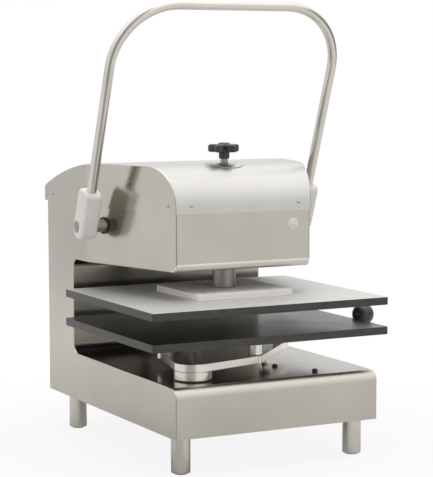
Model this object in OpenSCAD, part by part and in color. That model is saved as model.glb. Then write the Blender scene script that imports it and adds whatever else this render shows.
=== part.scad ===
// Manual pizza dough press for a counter: a stainless C-frame, a hinged bail handle that drives the
// upper platen down through a pinion and rack, and a lower platen that swings out on a pivot arm.
// X is to the right, Y to the back, Z up. The origin is the middle of the base, on the counter.

/* [Base] */
// Width of the base and of the column
base_w = 435; // [400:1:500]
// Depth of the base, front to back
base_d = 600; // [560:1:680]
// Height of the base box without its legs
base_h = 95; // [70:1:130]
// Bend radius between the base's front and its top
base_bend_r = 20; // [6:1:30]
// Thickness of the stainless sheet
sheet_t = 2; // [1.2:0.1:3]

/* [Legs] */
// Counter to the underside of the base
leg_h = 73; // [50:1:120]
// Leg diameter
leg_d = 36; // [28:1:44]
// Leg axis to the side of the base
leg_inset_x = 31; // [26:1:60]
// Leg axis to the front of the base
leg_inset_front = 42; // [26:1:80]
// Leg axis to the back of the base
leg_inset_rear = 80; // [26:1:120]
// Rounding of a leg's lower edge
leg_round = 4; // [1:0.5:6]
// Glide diameter
glide_d = 24; // [16:1:26]
// Height of the glide that shows below a leg
glide_h = 3; // [2:0.5:6]
// Diameter of the stud that holds a leg
leg_stud_d = 10; // [8:1:12]

/* [Column and head] */
// Depth of the column
column_d = 131.5; // [110:0.5:160]
// Open height between the base and the head
throat_h = 193; // [185:1:230]
// Head length in front of the column
head_reach = 330.5; // [315:0.5:350]
// Width of the head's front
head_front_w = 294; // [280:1:340]
// Length of the head that is flush with the column, up to the bend in its sides
head_flush = 70; // [40:1:100]
// Height of the head's lower housing, up to the seam
housing_h = 112; // [105:1:125]
// Bend radius at the head's lower front edge
head_bend_r = 16; // [10:1:34]
// Inside radius where the column meets the base
base_cove_r = 12; // [4:1:20]
// Inside radius where the column meets the head
head_cove_r = 8; // [3:1:16]
// Height of the lip inside the cover's seam
seam_lip_h = 20; // [14:1:24]
// Diameter of the plug in the head's front
plug_d = 25; // [18:1:32]
// Plug to the middle of the head
plug_x = 108.5; // [60:0.5:115]
// Plug above the head's underside
plug_rise = 85; // [60:1:95]

/* [Top cover] */
// Height of the cover above the seam
cover_h = 89.5; // [88:0.5:110]
// Radius of the cover's front top edge
cover_front_r = 80; // [50:1:86]
// Radius of the roof's slope to the back
cover_roof_r = 760; // [700:10:1100]
// Roof's slope starts this far in front of the column
cover_slope_set = 148.5; // [120:0.5:180]
// Cover's overhang behind the column
cover_overhang = 12; // [4:0.5:20]
// Gap between the cover and the walls it slips over
cover_gap = 0.3; // [0.2:0.1:0.8]
// Height of wall that the cover slips over
cover_lap = 3; // [1:0.5:6]
// Hole in the roof round the adjuster
cover_hole_d = 72; // [60:1:90]

/* [Platens] */
// Width of both platens
platen_w = 508; // [440:1:540]
// Depth of both platens
platen_d = 406; // [360:1:430]
// Thickness of a platen
platen_t = 15; // [8:0.1:18]
// Corner radius of the platens
platen_corner_r = 3; // [1:0.5:12]
// Open height between the platens
platen_gap = 42.8; // [41:0.1:46]
// Press axis to the front of the column
throat_d = 247.5; // [240:0.5:256]
// Width of the plate that carries the upper platen
mount_plate_w = 210; // [150:1:240]
// Depth of that plate
mount_plate_d = 182; // [120:1:200]
// Thickness of that plate
mount_plate_t = 12.7; // [8:0.1:14]
// Screw spacing on that plate, across
mount_screw_dx = 150; // [100:1:160]
// Screw spacing on that plate, front to back
mount_screw_dy = 116; // [80:1:126]
// Diameter of those screws
mount_screw_d = 8; // [6:1:10]

/* [Handle] */
// Shaft axis in front of the column
shaft_set = 124.5; // [120:0.5:128]
// Shaft axis above the head's underside
shaft_rise = 78; // [74:0.5:84]
// Shaft diameter
shaft_d = 25.4; // [20:0.1:27]
// Distance between the handle's two arms
handle_w = 490; // [486:1:520]
// Shaft axis to the grip bar, along the arms
handle_l = 460; // [420:1:520]
// Diameter of the handle tube
handle_d = 19; // [16:0.5:25]
// Wall of the handle tube
handle_wall = 2; // [1.2:0.1:3]
// Bend radius at the handle's corners
handle_bend_r = 127; // [60:1:180]
// Forward lean of the handle at rest, in degrees
handle_lean = 20; // [10:1:25]
// Handle arms in front of the shaft axis
handle_set = 9; // [0:0.5:12]
// Swing of the handle, in degrees
handle_swing = 75; // [60:1:75]
// Width of a hub block
hub_w = 35; // [30:1:42]
// Depth of a hub block
hub_d = 44; // [40:1:52]
// Shaft axis to the top of a hub
hub_top = 79; // [60:1:90]
// Shaft axis to the bottom of a hub
hub_bottom = 24; // [20:1:36]
// Shaft axis to the foot of an arm's socket
socket_foot = 32; // [28:1:45]
// Outside diameter of the shaft bushings
bushing_d = 34; // [31:0.5:38]
// Head's side to the outer end of a bushing
bushing_out = 2; // [1:0.5:7]
// Least gap between a hub and the head or a bushing
hub_gap = 1; // [0.5:0.5:6]

/* [Drive] */
// Gear module of the pinion and rack
gear_module = 3; // [2.5:0.1:3]
// Teeth on the pinion
pinion_teeth = 20; // [18:1:20]
// Face width of the pinion
pinion_w = 26; // [18:1:40]
// Face width of the rack
rack_w = 24; // [16:1:36]
// Play between the teeth
gear_play = 0.3; // [0.2:0.05:0.5]
// Depth of the rack's bar behind its teeth
rack_bar = 18; // [12:1:24]
// Diameter of the ram
ram_d = 46; // [42:1:50]
// Bore in the top of the ram
ram_bore_d = 30; // [26:1:34]
// Height of the ram's top above the head's underside
ram_rise = 139; // [136:1:142]
// Thickness of the ram's cap
ram_cap_t = 8; // [5:0.5:10]
// Height of the crosshead
crosshead_h = 30; // [24:1:34]
// Outside diameter of the crosshead's ring
crosshead_d = 66; // [62:1:80]
// Width of the crosshead's arm
crosshead_w = 40; // [28:1:50]
// Thickness of the head's floor plate
floor_t = 10; // [6:0.5:12]
// Width of the ram guide's square flange
guide_flange = 92; // [86:1:110]
// Thickness of that flange
guide_flange_t = 10; // [6:0.5:12]
// Outside diameter of the ram guide
guide_d = 70; // [62:1:76]
// Height of the ram guide above its flange
guide_h = 15; // [8:0.5:18]
// Diameter of the guide's screws
guide_screw_d = 8; // [6:1:10]
// Wire of the return spring
spring_wire = 4.5; // [3:0.1:5]
// Mean diameter of the return spring
spring_d = 57; // [55:0.5:62]
// Turns of the return spring
spring_turns = 6; // [4:1:6]
// Middle of the press to the middle of a bearing plate
bearing_x = 120; // [110:1:124]
// Thickness of a bearing plate
bearing_t = 10; // [8:0.5:12]
// Front of the bearing plates behind the head's front
bearing_set = 40; // [36:1:60]

/* [Adjuster] */
// Width of the star knob over its lobes
knob_d = 64; // [50:1:68]
// Lobes on the star knob
knob_lobes = 5; // [4:1:8]
// Height of the star knob's lobes
knob_h = 15; // [10:1:20]
// Diameter of the star knob's neck
knob_neck_d = 21; // [18:0.5:26]
// Height of that neck
knob_neck_h = 13; // [8:0.5:18]
// Foot of the neck above the roof
knob_rise = 9.5; // [6:0.5:16]
// Diameter of the adjuster screw
screw_d = 14; // [12:0.5:15]
// Thickness of the bridge that carries the screw
bridge_t = 12; // [8:0.5:12]
// Depth of that bridge
bridge_d = 50; // [40:1:54]
// Gap between the bridge and the cover
bridge_gap = 4; // [3:0.5:8]
// Diameter of the bridge's screws
bridge_screw_d = 6; // [5:0.5:8]
// Collar on the adjuster screw
collar_d = 28; // [24:1:34]
// Height of that collar
collar_h = 8; // [5:0.5:10]
// Height of the stop nut
nut_h = 16; // [12:1:18]
// Travel of the stop nut on its screw
nut_travel = 12; // [6:1:16]

/* [Swing arm] */
// Pivot axis to the side of the base
pivot_inset_x = 74.5; // [70:0.5:90]
// Pivot axis to the front of the base
pivot_inset_y = 77; // [70:0.5:90]
// Diameter of the pivot boss and of the arm's end
boss_d = 72; // [60:1:80]
// Thickness of the washer under the boss
washer_t = 2; // [1:0.5:3]
// Height of the pivot boss
boss_h = 16.5; // [12:0.5:24]
// Thickness of the arm
arm_t = 15.5; // [10:0.5:20]
// Side of the arm's square table
arm_table = 210; // [190:1:230]
// Diameter of the pivot pin
pivot_pin_d = 25; // [20:1:30]
// Circle on which the four posts stand, diameter
post_circle = 254; // [230:1:264]
// Diameter of a post
post_d = 25; // [18:1:28]
// Height of a post
post_h = 31.3; // [24:0.1:42]
// Diameter of the bolts in the posts
post_bolt_d = 10; // [8:1:12]
// Diameter of the rest pad under the arm
rest_pad_d = 22; // [16:1:24]
// Thickness of the block that holds the pivot pin inside the base
pivot_block_t = 25; // [16:1:35]

/* [Pull knob] */
// Diameter of the ball
ball_d = 44; // [30:1:46]
// Edge of the platen to the ball's axis
ball_out = 31; // [25:0.5:40]
// Ball's axis in front of the press axis
ball_front = 63; // [30:1:120]
// Width of the ball's bracket
bracket_w = 32; // [26:1:40]
// Thickness of that bracket
bracket_t = 6; // [4:0.5:8]
// Length of the bracket under the platen
bracket_l = 80; // [60:1:110]
// Diameter of the bracket's screws
bracket_screw_d = 6; // [5:0.5:8]
// Diameter of the ball's stud
ball_stud_d = 10; // [8:1:14]

/* [Clearances] */
// Radial clearance of a turning or sliding fit
run_gap = 0.05; // [0.02:0.01:0.09]
// Gap between faces that move past each other
slide_gap = 0.3; // [0.2:0.05:0.6]
// Gap round a part that only passes through a sheet
pass_gap = 1; // [0.6:0.1:2]

/* [Hidden] */
$fn = 96;

// Heights, from the counter up
base_top = leg_h + base_h;
head_z = base_top + throat_h;
seam_z = head_z + housing_h;
roof_z = seam_z + cover_h;
boss_z = base_top + washer_t;
arm_z = boss_z + boss_h;
post_z = arm_z + arm_t;
lower_z = post_z + post_h;
upper_z = lower_z + platen_t + platen_gap;
plate_z = upper_z + platen_t;
ram_z = plate_z + mount_plate_t;
floor_z = head_z + sheet_t;
guide_z = floor_z + floor_t;
spring_z = guide_z + guide_flange_t + guide_h;
ram_top = head_z + ram_rise;
crosshead_z = ram_top - crosshead_h;
shaft_z = head_z + shaft_rise;
knob_z = roof_z + knob_rise;
wall_top = seam_z + cover_lap;

// Places in plan
half_w = base_w / 2;
rear_y = base_d / 2;
col_y = rear_y - column_d;
head_y = col_y - head_reach;
press_y = col_y - throat_d;
shaft_y = col_y - shaft_set;
pivot_x = pivot_inset_x - half_w;
pivot_y = pivot_inset_y - rear_y;
side_bend_y = col_y - head_flush;
taper = atan((half_w - head_front_w / 2) / (side_bend_y - head_y));
shaft_side = head_half(0, shaft_y);
hub_side = head_half(cover_gap + sheet_t, shaft_y + hub_d);
hub_in = max(handle_w / 2 - hub_w / 2, hub_side + hub_gap);
hub_out = handle_w / 2 + hub_w / 2;
bushing_end = min(shaft_side + bushing_out, hub_in - hub_gap);
ball_x = platen_w / 2 + ball_out;
ball_y = press_y - ball_front;
ball_z = lower_z + ball_d / 2;
bearing_y = head_y + bearing_set;

// The bridge lies under the cover's front arc, so its height follows the arc
cover_y = head_y - cover_gap - sheet_t;
arc_in = cover_front_r - sheet_t;
arc_over = max(0, cover_y + cover_front_r - press_y + bridge_d / 2);
arc_drop = arc_in - sqrt(arc_in * arc_in - arc_over * arc_over);
bridge_z = roof_z - sheet_t - arc_drop - bridge_gap - bridge_t;

// Gear sizes
pitch_r = gear_module * pinion_teeth / 2;
tooth_pitch = PI * gear_module;
press_travel = pitch_r * handle_swing * PI / 180;
rack_y = shaft_y - pitch_r;
rack_root = rack_y - 1.25 * gear_module;
rack_back = rack_root - rack_bar;
nut_z = ram_top - press_travel - slide_gap - nut_h;
screw_z = nut_z - nut_travel - nut_h / 4;
ram_bore_z = screw_z - nut_h / 2;

// Extrudes a side outline, drawn as depth and height, to both sides of the middle
module along_x(width) {
    rotate([90, 0, 90])
        linear_extrude(height = width, center = true)
            children();
}

// A rod across the press at a given depth and height
module rod_x(y, z, d, x0, x1) {
    translate([x0, y, z])
        rotate([0, 90, 0])
            cylinder(d = d, h = x1 - x0);
}

// An upright rod between two heights
module rod_z(x, y, d, z0, z1) {
    translate([x, y, z0])
        cylinder(d = d, h = z1 - z0);
}

// A box given by its two corners
module box(low, high) {
    translate(low)
        cube(high - low);
}

// A rectangle with round corners, centred
module rounded_rect(w, d, r) {
    square([w - 2 * r, d], center = true);
    square([w, d - 2 * r], center = true);
    for (sx = [-1, 1], sy = [-1, 1])
        translate([sx * (w / 2 - r), sy * (d / 2 - r)])
            circle(r);
}

// Puts copies on the four corners of a rectangle
module at_corners(dx, dy) {
    for (sx = [-1, 1], sy = [-1, 1])
        translate([sx * dx / 2, sy * dy / 2, 0])
            children();
}

// Base box, open below: a folded sheet with a bend along its front top edge
module base_profile(inset, bottom) {
    r = base_bend_r - inset;
    y0 = -rear_y + inset;
    depth = base_d - 2 * inset;
    top = base_top - inset;
    translate([y0 + r, top - r])
        circle(r);
    translate([y0 + r, top - r])
        square([depth - r, r]);
    translate([y0, bottom])
        square([depth, top - r - bottom]);
}

module base_shell() {
    color("silver")
        difference() {
            along_x(base_w)
                base_profile(0, leg_h);
            along_x(base_w - 2 * sheet_t)
                base_profile(sheet_t, leg_h - 1);
            rod_z(pivot_x, pivot_y, pivot_pin_d + 2 * run_gap, base_top - 2 * sheet_t, base_top + 1);
        }
}

// The plate that closes the base and carries the legs
module base_plate() {
    low = [-half_w + sheet_t, -rear_y + sheet_t, leg_h];
    color("darkgray")
        difference() {
            box(low, [-low[0], -low[1], leg_h + sheet_t]);
            at_legs()
                rod_z(0, 0, leg_stud_d, leg_h - 1, leg_h + sheet_t + 1);
        }
}

// The four leg positions
module at_legs() {
    for (sx = [-1, 1], sy = [-1, 1])
        at_leg(sx, sy)
            children();
}

module at_leg(sx, sy) {
    y = sy < 0 ? leg_inset_front - rear_y : rear_y - leg_inset_rear;
    translate([sx * (half_w - leg_inset_x), y, 0])
        children();
}

// A turned leg with a rounded lower edge and a tapped hole in its top
module leg(sx, sy) {
    stud_depth = (leg_h - glide_h) / 2;
    color("lightgray")
        at_leg(sx, sy)
            difference() {
                rotate_extrude()
                    leg_profile();
                rod_z(0, 0, leg_stud_d, leg_h - stud_depth, leg_h + 1);
            }
}

module leg_profile() {
    r = leg_round;
    translate([leg_d / 2 - r, glide_h + r])
        intersection() {
            circle(r);
            square(2 * r, center = true);
        }
    translate([0, glide_h])
        square([leg_d / 2 - r, r]);
    translate([0, glide_h + r])
        square([leg_d / 2, leg_h - glide_h - r]);
}

module leg_glides() {
    color("whitesmoke")
        at_legs()
            rod_z(0, 0, glide_d, 0, glide_h);
}

// Studs from each leg up through the base plate
module leg_studs() {
    stud_depth = (leg_h - glide_h) / 2;
    color("gray")
        at_legs()
            rod_z(0, 0, leg_stud_d, leg_h - stud_depth, leg_h + sheet_t + leg_stud_d);
}

module leg_nuts() {
    color("gray")
        at_legs()
            difference() {
                translate([0, 0, leg_h + sheet_t])
                    cylinder(d = 2 * leg_stud_d, h = 0.8 * leg_stud_d, $fn = 6);
                rod_z(0, 0, leg_stud_d, leg_h, leg_h + sheet_t + leg_stud_d);
            }
}

// A cove between two walls that meet at a right angle, in the corner at the origin
module cove(r) {
    difference() {
        square(r);
        translate([r, r])
            circle(r);
    }
}

// Column: front wall and two sides in one folded sheet, with coves to the base and the head
module column_shell() {
    color("silver") {
        difference() {
            box([-half_w, col_y, base_top], [half_w, rear_y, wall_top]);
            box([-half_w + sheet_t, col_y + sheet_t, base_top - 1], [half_w - sheet_t, rear_y + 1, wall_top + 1]);
        }
        along_x(base_w)
            translate([col_y, base_top])
                mirror([1, 0])
                    cove(base_cove_r);
        along_x(base_w)
            translate([col_y, head_z])
                rotate(180)
                    cove(head_cove_r);
    }
}

// The flat panel that closes the column's back
module rear_panel() {
    edge = half_w - sheet_t;
    color("darkgray")
        box([-edge, rear_y - sheet_t, base_top], [edge, rear_y, wall_top]);
}

// Half width of the head at a depth, grown or shrunk square to its side
function head_half(grow, y) =
    min(half_w + grow, half_w + grow / cos(taper) - (side_bend_y - y) * tan(taper));

// Plan of the head: flush with the column as far as the bend, then tapering to its front
function head_plan(grow, back_y) =
    let (side = half_w + grow, bend_y = side_bend_y - grow * tan(taper / 2))
    let (nose_y = head_y - grow, nose = head_half(grow, nose_y))
    [[-side, back_y], [-side, bend_y], [-nose, nose_y], [nose, nose_y], [side, bend_y], [side, back_y]];

// Side outline of the housing, with its bend at the lower front edge
module housing_profile(inset, top) {
    r = head_bend_r - inset;
    y0 = head_y + inset;
    z0 = head_z + inset;
    translate([y0 + r, z0 + r])
        circle(r);
    translate([y0 + r, z0])
        square([col_y - y0 - r, r]);
    translate([y0, z0 + r])
        square([col_y - y0, top - z0 - r]);
}

module housing_body(inset, top) {
    intersection() {
        along_x(base_w + 2)
            housing_profile(inset, top);
        translate([0, 0, head_z - 1])
            linear_extrude(height = housing_h + cover_h)
                polygon(head_plan(-inset, col_y));
    }
}

// Lower housing of the head, open at the top and the back, with a lip that backs the cover's seam
module head_housing() {
    color("silver")
        difference() {
            union() {
                difference() {
                    housing_body(0, wall_top);
                    housing_body(sheet_t, wall_top + 1);
                }
                intersection() {
                    difference() {
                        housing_body(sheet_t, seam_z + seam_lip_h);
                        housing_body(2 * sheet_t, seam_z + seam_lip_h + 1);
                    }
                    box([-base_w, head_y - 1, seam_z - seam_lip_h / 2], [base_w, col_y + 1, roof_z]);
                }
            }
            rod_z(0, press_y, ram_d + 2 * pass_gap, head_z - 1, floor_z + 1);
            rod_x(shaft_y, shaft_z, bushing_d + 2 * pass_gap, -base_w, base_w);
            translate([plug_x, head_y - 1, head_z + plug_rise])
                rotate([-90, 0, 0])
                    cylinder(d = plug_d * 0.6, h = 2 * sheet_t + 1);
        }
}

// Domed plug in a hole in the head's front
module front_plug() {
    color("gainsboro")
        translate([plug_x, head_y, head_z + plug_rise])
            rotate([90, 0, 0])
                rotate_extrude()
                    plug_profile();
}

module plug_profile() {
    rise = plug_d / 6;
    dome_r = (plug_d * plug_d / 4 + rise * rise) / (2 * rise);
    intersection() {
        translate([0, rise - dome_r])
            circle(dome_r, $fn = 180);
        square([plug_d / 2, rise]);
    }
    translate([0, -2 * sheet_t])
        square([plug_d * 0.3, 2 * sheet_t]);
}

// Cover: a roof with a round front edge and a long slope to its rear lip, slipped over the walls
module cover_profile(inset, bottom, back_y) {
    front_y = cover_y + inset;
    top = roof_z - inset;
    r = cover_front_r - inset;
    slope_y = col_y - cover_slope_set;
    intersection() {
        translate([front_y, bottom])
            square([back_y - front_y, top - bottom]);
        union() {
            translate([front_y + r, top - r])
                circle(r);
            translate([front_y + r, bottom])
                square([base_d, top]);
            translate([front_y, bottom])
                square([r, top - r - bottom]);
        }
        union() {
            translate([slope_y, roof_z - cover_roof_r])
                circle(cover_roof_r - inset, $fn = 360);
            translate([front_y, bottom])
                square([slope_y - front_y, top]);
        }
    }
}

module cover_body(inset, bottom) {
    back_y = rear_y + cover_overhang - inset;
    intersection() {
        along_x(base_w + 20)
            cover_profile(inset, bottom, back_y);
        translate([0, 0, bottom])
            linear_extrude(height = 2 * cover_h)
                polygon(head_plan(cover_gap + sheet_t - inset, back_y));
    }
}

module top_cover() {
    color("silver")
        difference() {
            cover_body(0, seam_z);
            cover_body(sheet_t, seam_z - 1);
            rod_z(0, press_y, cover_hole_d, roof_z - 2 * sheet_t, roof_z + 1);
        }
}

// Plate on the head's floor, between the bearing plates
module head_floor_plate() {
    edge = bearing_x - bearing_t / 2;
    color("darkgray")
        difference() {
            box([-edge, bearing_y, floor_z], [edge, col_y, guide_z]);
            rod_z(0, press_y, ram_d + 2 * pass_gap, floor_z - 1, guide_z + 1);
            translate([0, press_y, 0])
                at_corners(guide_pitch, guide_pitch)
                    rod_z(0, 0, guide_screw_d, floor_z - 1, guide_z + 1);
        }
}

guide_pitch = guide_flange - 2 * guide_screw_d;

// Bearing plates: they carry the handle shaft and the bridge
module bearing_plate(side) {
    rear_top = shaft_z + bushing_d;
    color("darkgray")
        difference() {
            translate([side * bearing_x, 0, 0])
                along_x(bearing_t)
                    polygon([[bearing_y, floor_z], [col_y, floor_z], [col_y, rear_top],
                        [shaft_y + bushing_d / 2, bridge_z], [bearing_y, bridge_z]]);
            rod_x(shaft_y, shaft_z, bushing_d, -base_w, base_w);
            translate([side * bearing_x, press_y, 0])
                bridge_screw_rods(bridge_screw_d);
        }
}

// The two screws of the bridge on one side
module bridge_screw_rods(d) {
    for (sy = [-1, 1])
        rod_z(0, sy * bridge_d / 4, d, bridge_z - 2 * bridge_t, bridge_z + bridge_t);
}

module bridge_screws() {
    color("gray")
        for (side = [-1, 1])
            translate([side * bearing_x, press_y, 0])
                bridge_screw_rods(bridge_screw_d);
}

// Bridge under the roof: it holds the adjuster screw
module stop_bridge() {
    edge = bearing_x + bearing_t / 2;
    color("darkgray")
        difference() {
            box([-edge, press_y - bridge_d / 2, bridge_z], [edge, press_y + bridge_d / 2, bridge_z + bridge_t]);
            rod_z(0, press_y, screw_d + 2 * run_gap, bridge_z - 1, bridge_z + bridge_t + 1);
            for (side = [-1, 1])
                translate([side * bearing_x, press_y, 0])
                    bridge_screw_rods(bridge_screw_d);
        }
}

// Black sleeve from a bearing plate out through the head's side, round the shaft
module shaft_bushing(side) {
    inner = bearing_x - bearing_t / 2;
    color("#222222")
        mirror([side < 0 ? 1 : 0, 0, 0])
            difference() {
                rod_x(shaft_y, shaft_z, bushing_d, inner, bushing_end);
                rod_x(shaft_y, shaft_z, shaft_d + 2 * run_gap, inner - 1, bushing_end + 1);
            }
}

// Flanged guide for the ram
module ram_guide() {
    color("peru")
        difference() {
            union() {
                translate([0, press_y, guide_z])
                    linear_extrude(height = guide_flange_t)
                        rounded_rect(guide_flange, guide_flange, guide_screw_d);
                rod_z(0, press_y, guide_d, guide_z, spring_z);
            }
            rod_z(0, press_y, ram_d + 2 * run_gap, guide_z - 1, spring_z + 1);
            translate([0, press_y, 0])
                at_corners(guide_pitch, guide_pitch)
                    rod_z(0, 0, guide_screw_d, guide_z - 1, spring_z + 1);
        }
}

module guide_screws() {
    color("gray")
        translate([0, press_y, 0])
            at_corners(guide_pitch, guide_pitch) {
                rod_z(0, 0, guide_screw_d, floor_z, guide_z + guide_flange_t);
                rod_z(0, 0, 1.5 * guide_screw_d, guide_z + guide_flange_t, guide_z + guide_flange_t + guide_screw_d / 2);
            }
}

// Return spring round the ram, between its guide and the crosshead: one unbroken coil of wire
spring_low = spring_z + spring_wire / 2 + run_gap;
spring_high = crosshead_z - spring_wire / 2 - run_gap;
spring_rings = 8 * spring_turns;
wire_sides = 6;

function coil_point(i) = let (a = 360 * i / 8)
    [spring_d / 2 * cos(a), spring_d / 2 * sin(a), spring_low + (spring_high - spring_low) * i / spring_rings];

function wire_ring(i) = let (a = 360 * i / 8, c = coil_point(i))
    [for (k = [0 : wire_sides - 1]) let (b = 360 * k / wire_sides)
        c + spring_wire / 2 * [cos(b) * cos(a), cos(b) * sin(a), sin(b)]];

spring_gap = min([for (i = [0 : spring_rings - 8]) norm(coil_point(i + 8) - coil_point(i)) - spring_wire]);
echo(least_gap_between_spring_turns = spring_gap);

module return_spring() {
    points = [for (i = [0 : spring_rings]) each wire_ring(i)];
    last = spring_rings * wire_sides;
    quads = [for (i = [0 : spring_rings - 1], k = [0 : wire_sides - 1])
        let (a = i * wire_sides + k, b = i * wire_sides + (k + 1) % wire_sides)
        each [[a, b, b + wire_sides], [a, b + wire_sides, a + wire_sides]]];
    foot = [for (k = [1 : wire_sides - 2]) [0, k + 1, k]];
    head = [for (k = [1 : wire_sides - 2]) [last, last + k, last + k + 1]];
    color("gray")
        translate([0, press_y, 0])
            polyhedron(points = points, faces = concat(quads, foot, head));
}

// Block inside the base that holds the swing pivot's pin
module pivot_block() {
    top = base_top - sheet_t;
    color("gray")
        difference() {
            rod_z(pivot_x, pivot_y, boss_d, top - pivot_block_t, top);
            rod_z(pivot_x, pivot_y, pivot_pin_d, top - pivot_block_t - 1, top + 1);
        }
}

module pivot_pin() {
    color("gainsboro")
        rod_z(pivot_x, pivot_y, pivot_pin_d, base_top - sheet_t - pivot_block_t, post_z - slide_gap);
}

// Black washer that the pivot boss turns on
module pivot_washer() {
    color("#222222")
        difference() {
            rod_z(pivot_x, pivot_y, boss_d + 2 * washer_t, base_top, boss_z - run_gap);
            rod_z(pivot_x, pivot_y, pivot_pin_d, base_top - 1, boss_z + 1);
        }
}

// Black pad on the base, under the loaded side of the arm
module arm_rest_pad() {
    reach = arm_table / 2 - rest_pad_d;
    color("#222222")
        rod_z(reach / sqrt(2), press_y - reach / sqrt(2), rest_pad_d, base_top, arm_z - slide_gap);
}

// Everything on the handle is drawn in its own leaning frame, on the shaft axis
module on_handle() {
    translate([0, shaft_y, shaft_z])
        rotate([handle_lean, 0, 0])
            children();
}

module handle_shaft() {
    color("lightgray")
        rod_x(shaft_y, shaft_z, shaft_d, -hub_out, hub_out);
}

// Side outline of a hub: round foot, straight flanks, chamfered top
module hub_profile() {
    r = hub_d / 2;
    mid = -handle_set / 2;
    chamfer = hub_d / 6;
    translate([mid, r - hub_bottom])
        circle(r);
    translate([mid, r - hub_bottom])
        polygon([[-r, 0], [r, 0], [r, hub_top + hub_bottom - r - chamfer], [r - chamfer, hub_top + hub_bottom - r],
            [chamfer - r, hub_top + hub_bottom - r], [-r, hub_top + hub_bottom - r - chamfer]]);
}

// Aluminium hub block, pinned on the shaft's end, with a socket for one arm of the handle
module handle_hub(side) {
    color("gainsboro")
        mirror([side < 0 ? 1 : 0, 0, 0])
            on_handle()
                difference() {
                    translate([(hub_in + hub_out) / 2, 0, 0])
                        along_x(hub_out - hub_in)
                            hub_profile();
                    rod_x(0, 0, shaft_d, 0, 2 * hub_out);
                    rod_z(handle_w / 2, -handle_set, handle_d, socket_foot, hub_top + 1);
                }
}

// Tube wall of the handle, as a ring
module tube_ring() {
    difference() {
        circle(d = handle_d);
        circle(d = handle_d - 2 * handle_wall);
    }
}

// U-shaped handle bent from one tube
module handle_bail() {
    bar = handle_w - 2 * handle_bend_r;
    arm = handle_l - handle_bend_r - socket_foot;
    color("lightgray")
        on_handle()
            translate([0, -handle_set, 0]) {
                for (side = [0, 1])
                    mirror([side, 0, 0]) {
                        translate([handle_w / 2, 0, socket_foot])
                            linear_extrude(height = arm)
                                tube_ring();
                        translate([bar / 2, 0, handle_l - handle_bend_r])
                            rotate([90, 0, 0])
                                rotate_extrude(angle = 90)
                                    translate([handle_bend_r, 0])
                                        tube_ring();
                    }
                translate([-bar / 2, 0, handle_l])
                    rotate([0, 90, 0])
                        linear_extrude(height = bar)
                            tube_ring();
            }
}

// One point of an involute that starts on the base circle
pressure = 20;
base_r = pitch_r * cos(pressure);

function involute(r) = let (roll = sqrt(r * r / (base_r * base_r) - 1) * 180 / PI) roll - atan(roll * PI / 180);

// Half the angle of a pinion tooth at a radius
function tooth_half(r) =
    90 / pinion_teeth - gear_play / 2 / pitch_r * 90 / PI + involute(pitch_r) - involute(max(r, base_r));

// Outline of one pinion tooth, from its root up one flank and down the other
flank_steps = 6;

function tooth_outline(root_r, tip_r) =
    let (radii = [for (i = [0 : flank_steps]) base_r + (tip_r - base_r) * i / flank_steps])
    let (half = concat([[root_r, tooth_half(base_r)]], [for (r = radii) [r, tooth_half(r)]]))
    concat([for (p = half) [p[0], -p[1]]], [for (i = [flank_steps + 1 : -1 : 0]) half[i]]);

// Pinion on the handle shaft, with a space between its teeth facing the rack
module drive_pinion() {
    root_r = pitch_r - 1.25 * gear_module;
    teeth = [for (k = [0 : pinion_teeth - 1]) let (turn = 180 + (k + 0.5) * 360 / pinion_teeth)
        each [for (p = tooth_outline(root_r, pitch_r + gear_module)) p[0] * [cos(turn + p[1]), sin(turn + p[1])]]];
    color("gray")
        translate([0, shaft_y, shaft_z])
            difference() {
                along_x(pinion_w)
                    polygon(teeth);
                rod_x(0, 0, shaft_d, -pinion_w, pinion_w);
            }
}

// Straight rack that the pinion drives down
rack_first = -2;
rack_last = ceil(press_travel / tooth_pitch) + 1;

module drive_rack() {
    tip = gear_module * tan(pressure);
    root = 1.25 * gear_module * tan(pressure);
    half = tooth_pitch / 4 - gear_play / 4;
    low = shaft_z + (rack_first - 0.5) * tooth_pitch;
    high = shaft_z + (rack_last + 0.5) * tooth_pitch;
    teeth = [for (k = [rack_first : rack_last]) let (z = shaft_z + k * tooth_pitch)
        each [[rack_root, z - half - root], [rack_y + gear_module, z - half + tip],
            [rack_y + gear_module, z + half - tip], [rack_root, z + half + root]]];
    color("gray")
        along_x(rack_w)
            polygon(concat([[rack_back, high], [rack_back, low], [rack_root, low]], teeth, [[rack_root, high]]));
}

// Ram: a bar with a blind bore for the adjuster's stop nut
module ram() {
    color("gainsboro")
        difference() {
            rod_z(0, press_y, ram_d, ram_z, ram_top);
            rod_z(0, press_y, ram_bore_d, ram_bore_z, ram_top + 1);
        }
}

// Cap on the ram: the stop nut catches it at the end of the stroke
module ram_cap() {
    color("gray")
        difference() {
            rod_z(0, press_y, ram_d, ram_top, ram_top + ram_cap_t);
            rod_z(0, press_y, screw_d + 2 * pass_gap, ram_top - 1, ram_top + ram_cap_t + 1);
        }
}

// Crosshead: a ring clamped on the ram with an arm back to the rack
module crosshead() {
    color("darkgray")
        difference() {
            union() {
                rod_z(0, press_y, crosshead_d, crosshead_z, ram_top);
                box([-crosshead_w / 2, press_y, crosshead_z], [crosshead_w / 2, rack_back, ram_top]);
            }
            rod_z(0, press_y, ram_d, crosshead_z - 1, ram_top + 1);
        }
}

// Light alloy plate between the ram and the upper platen
module mount_plate() {
    color("gainsboro")
        translate([0, press_y, plate_z])
            difference() {
                linear_extrude(height = mount_plate_t)
                    rounded_rect(mount_plate_w, mount_plate_d, platen_corner_r);
                at_corners(mount_screw_dx, mount_screw_dy)
                    mount_screw(1);
            }
}

// A screw let in flush with the mounting plate's top, down into the platen
module mount_screw(over) {
    head = mount_screw_d / 2;
    rod_z(0, 0, mount_screw_d, -platen_t / 2, mount_plate_t - head);
    rod_z(0, 0, 1.75 * mount_screw_d, mount_plate_t - head, mount_plate_t + over);
}

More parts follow.
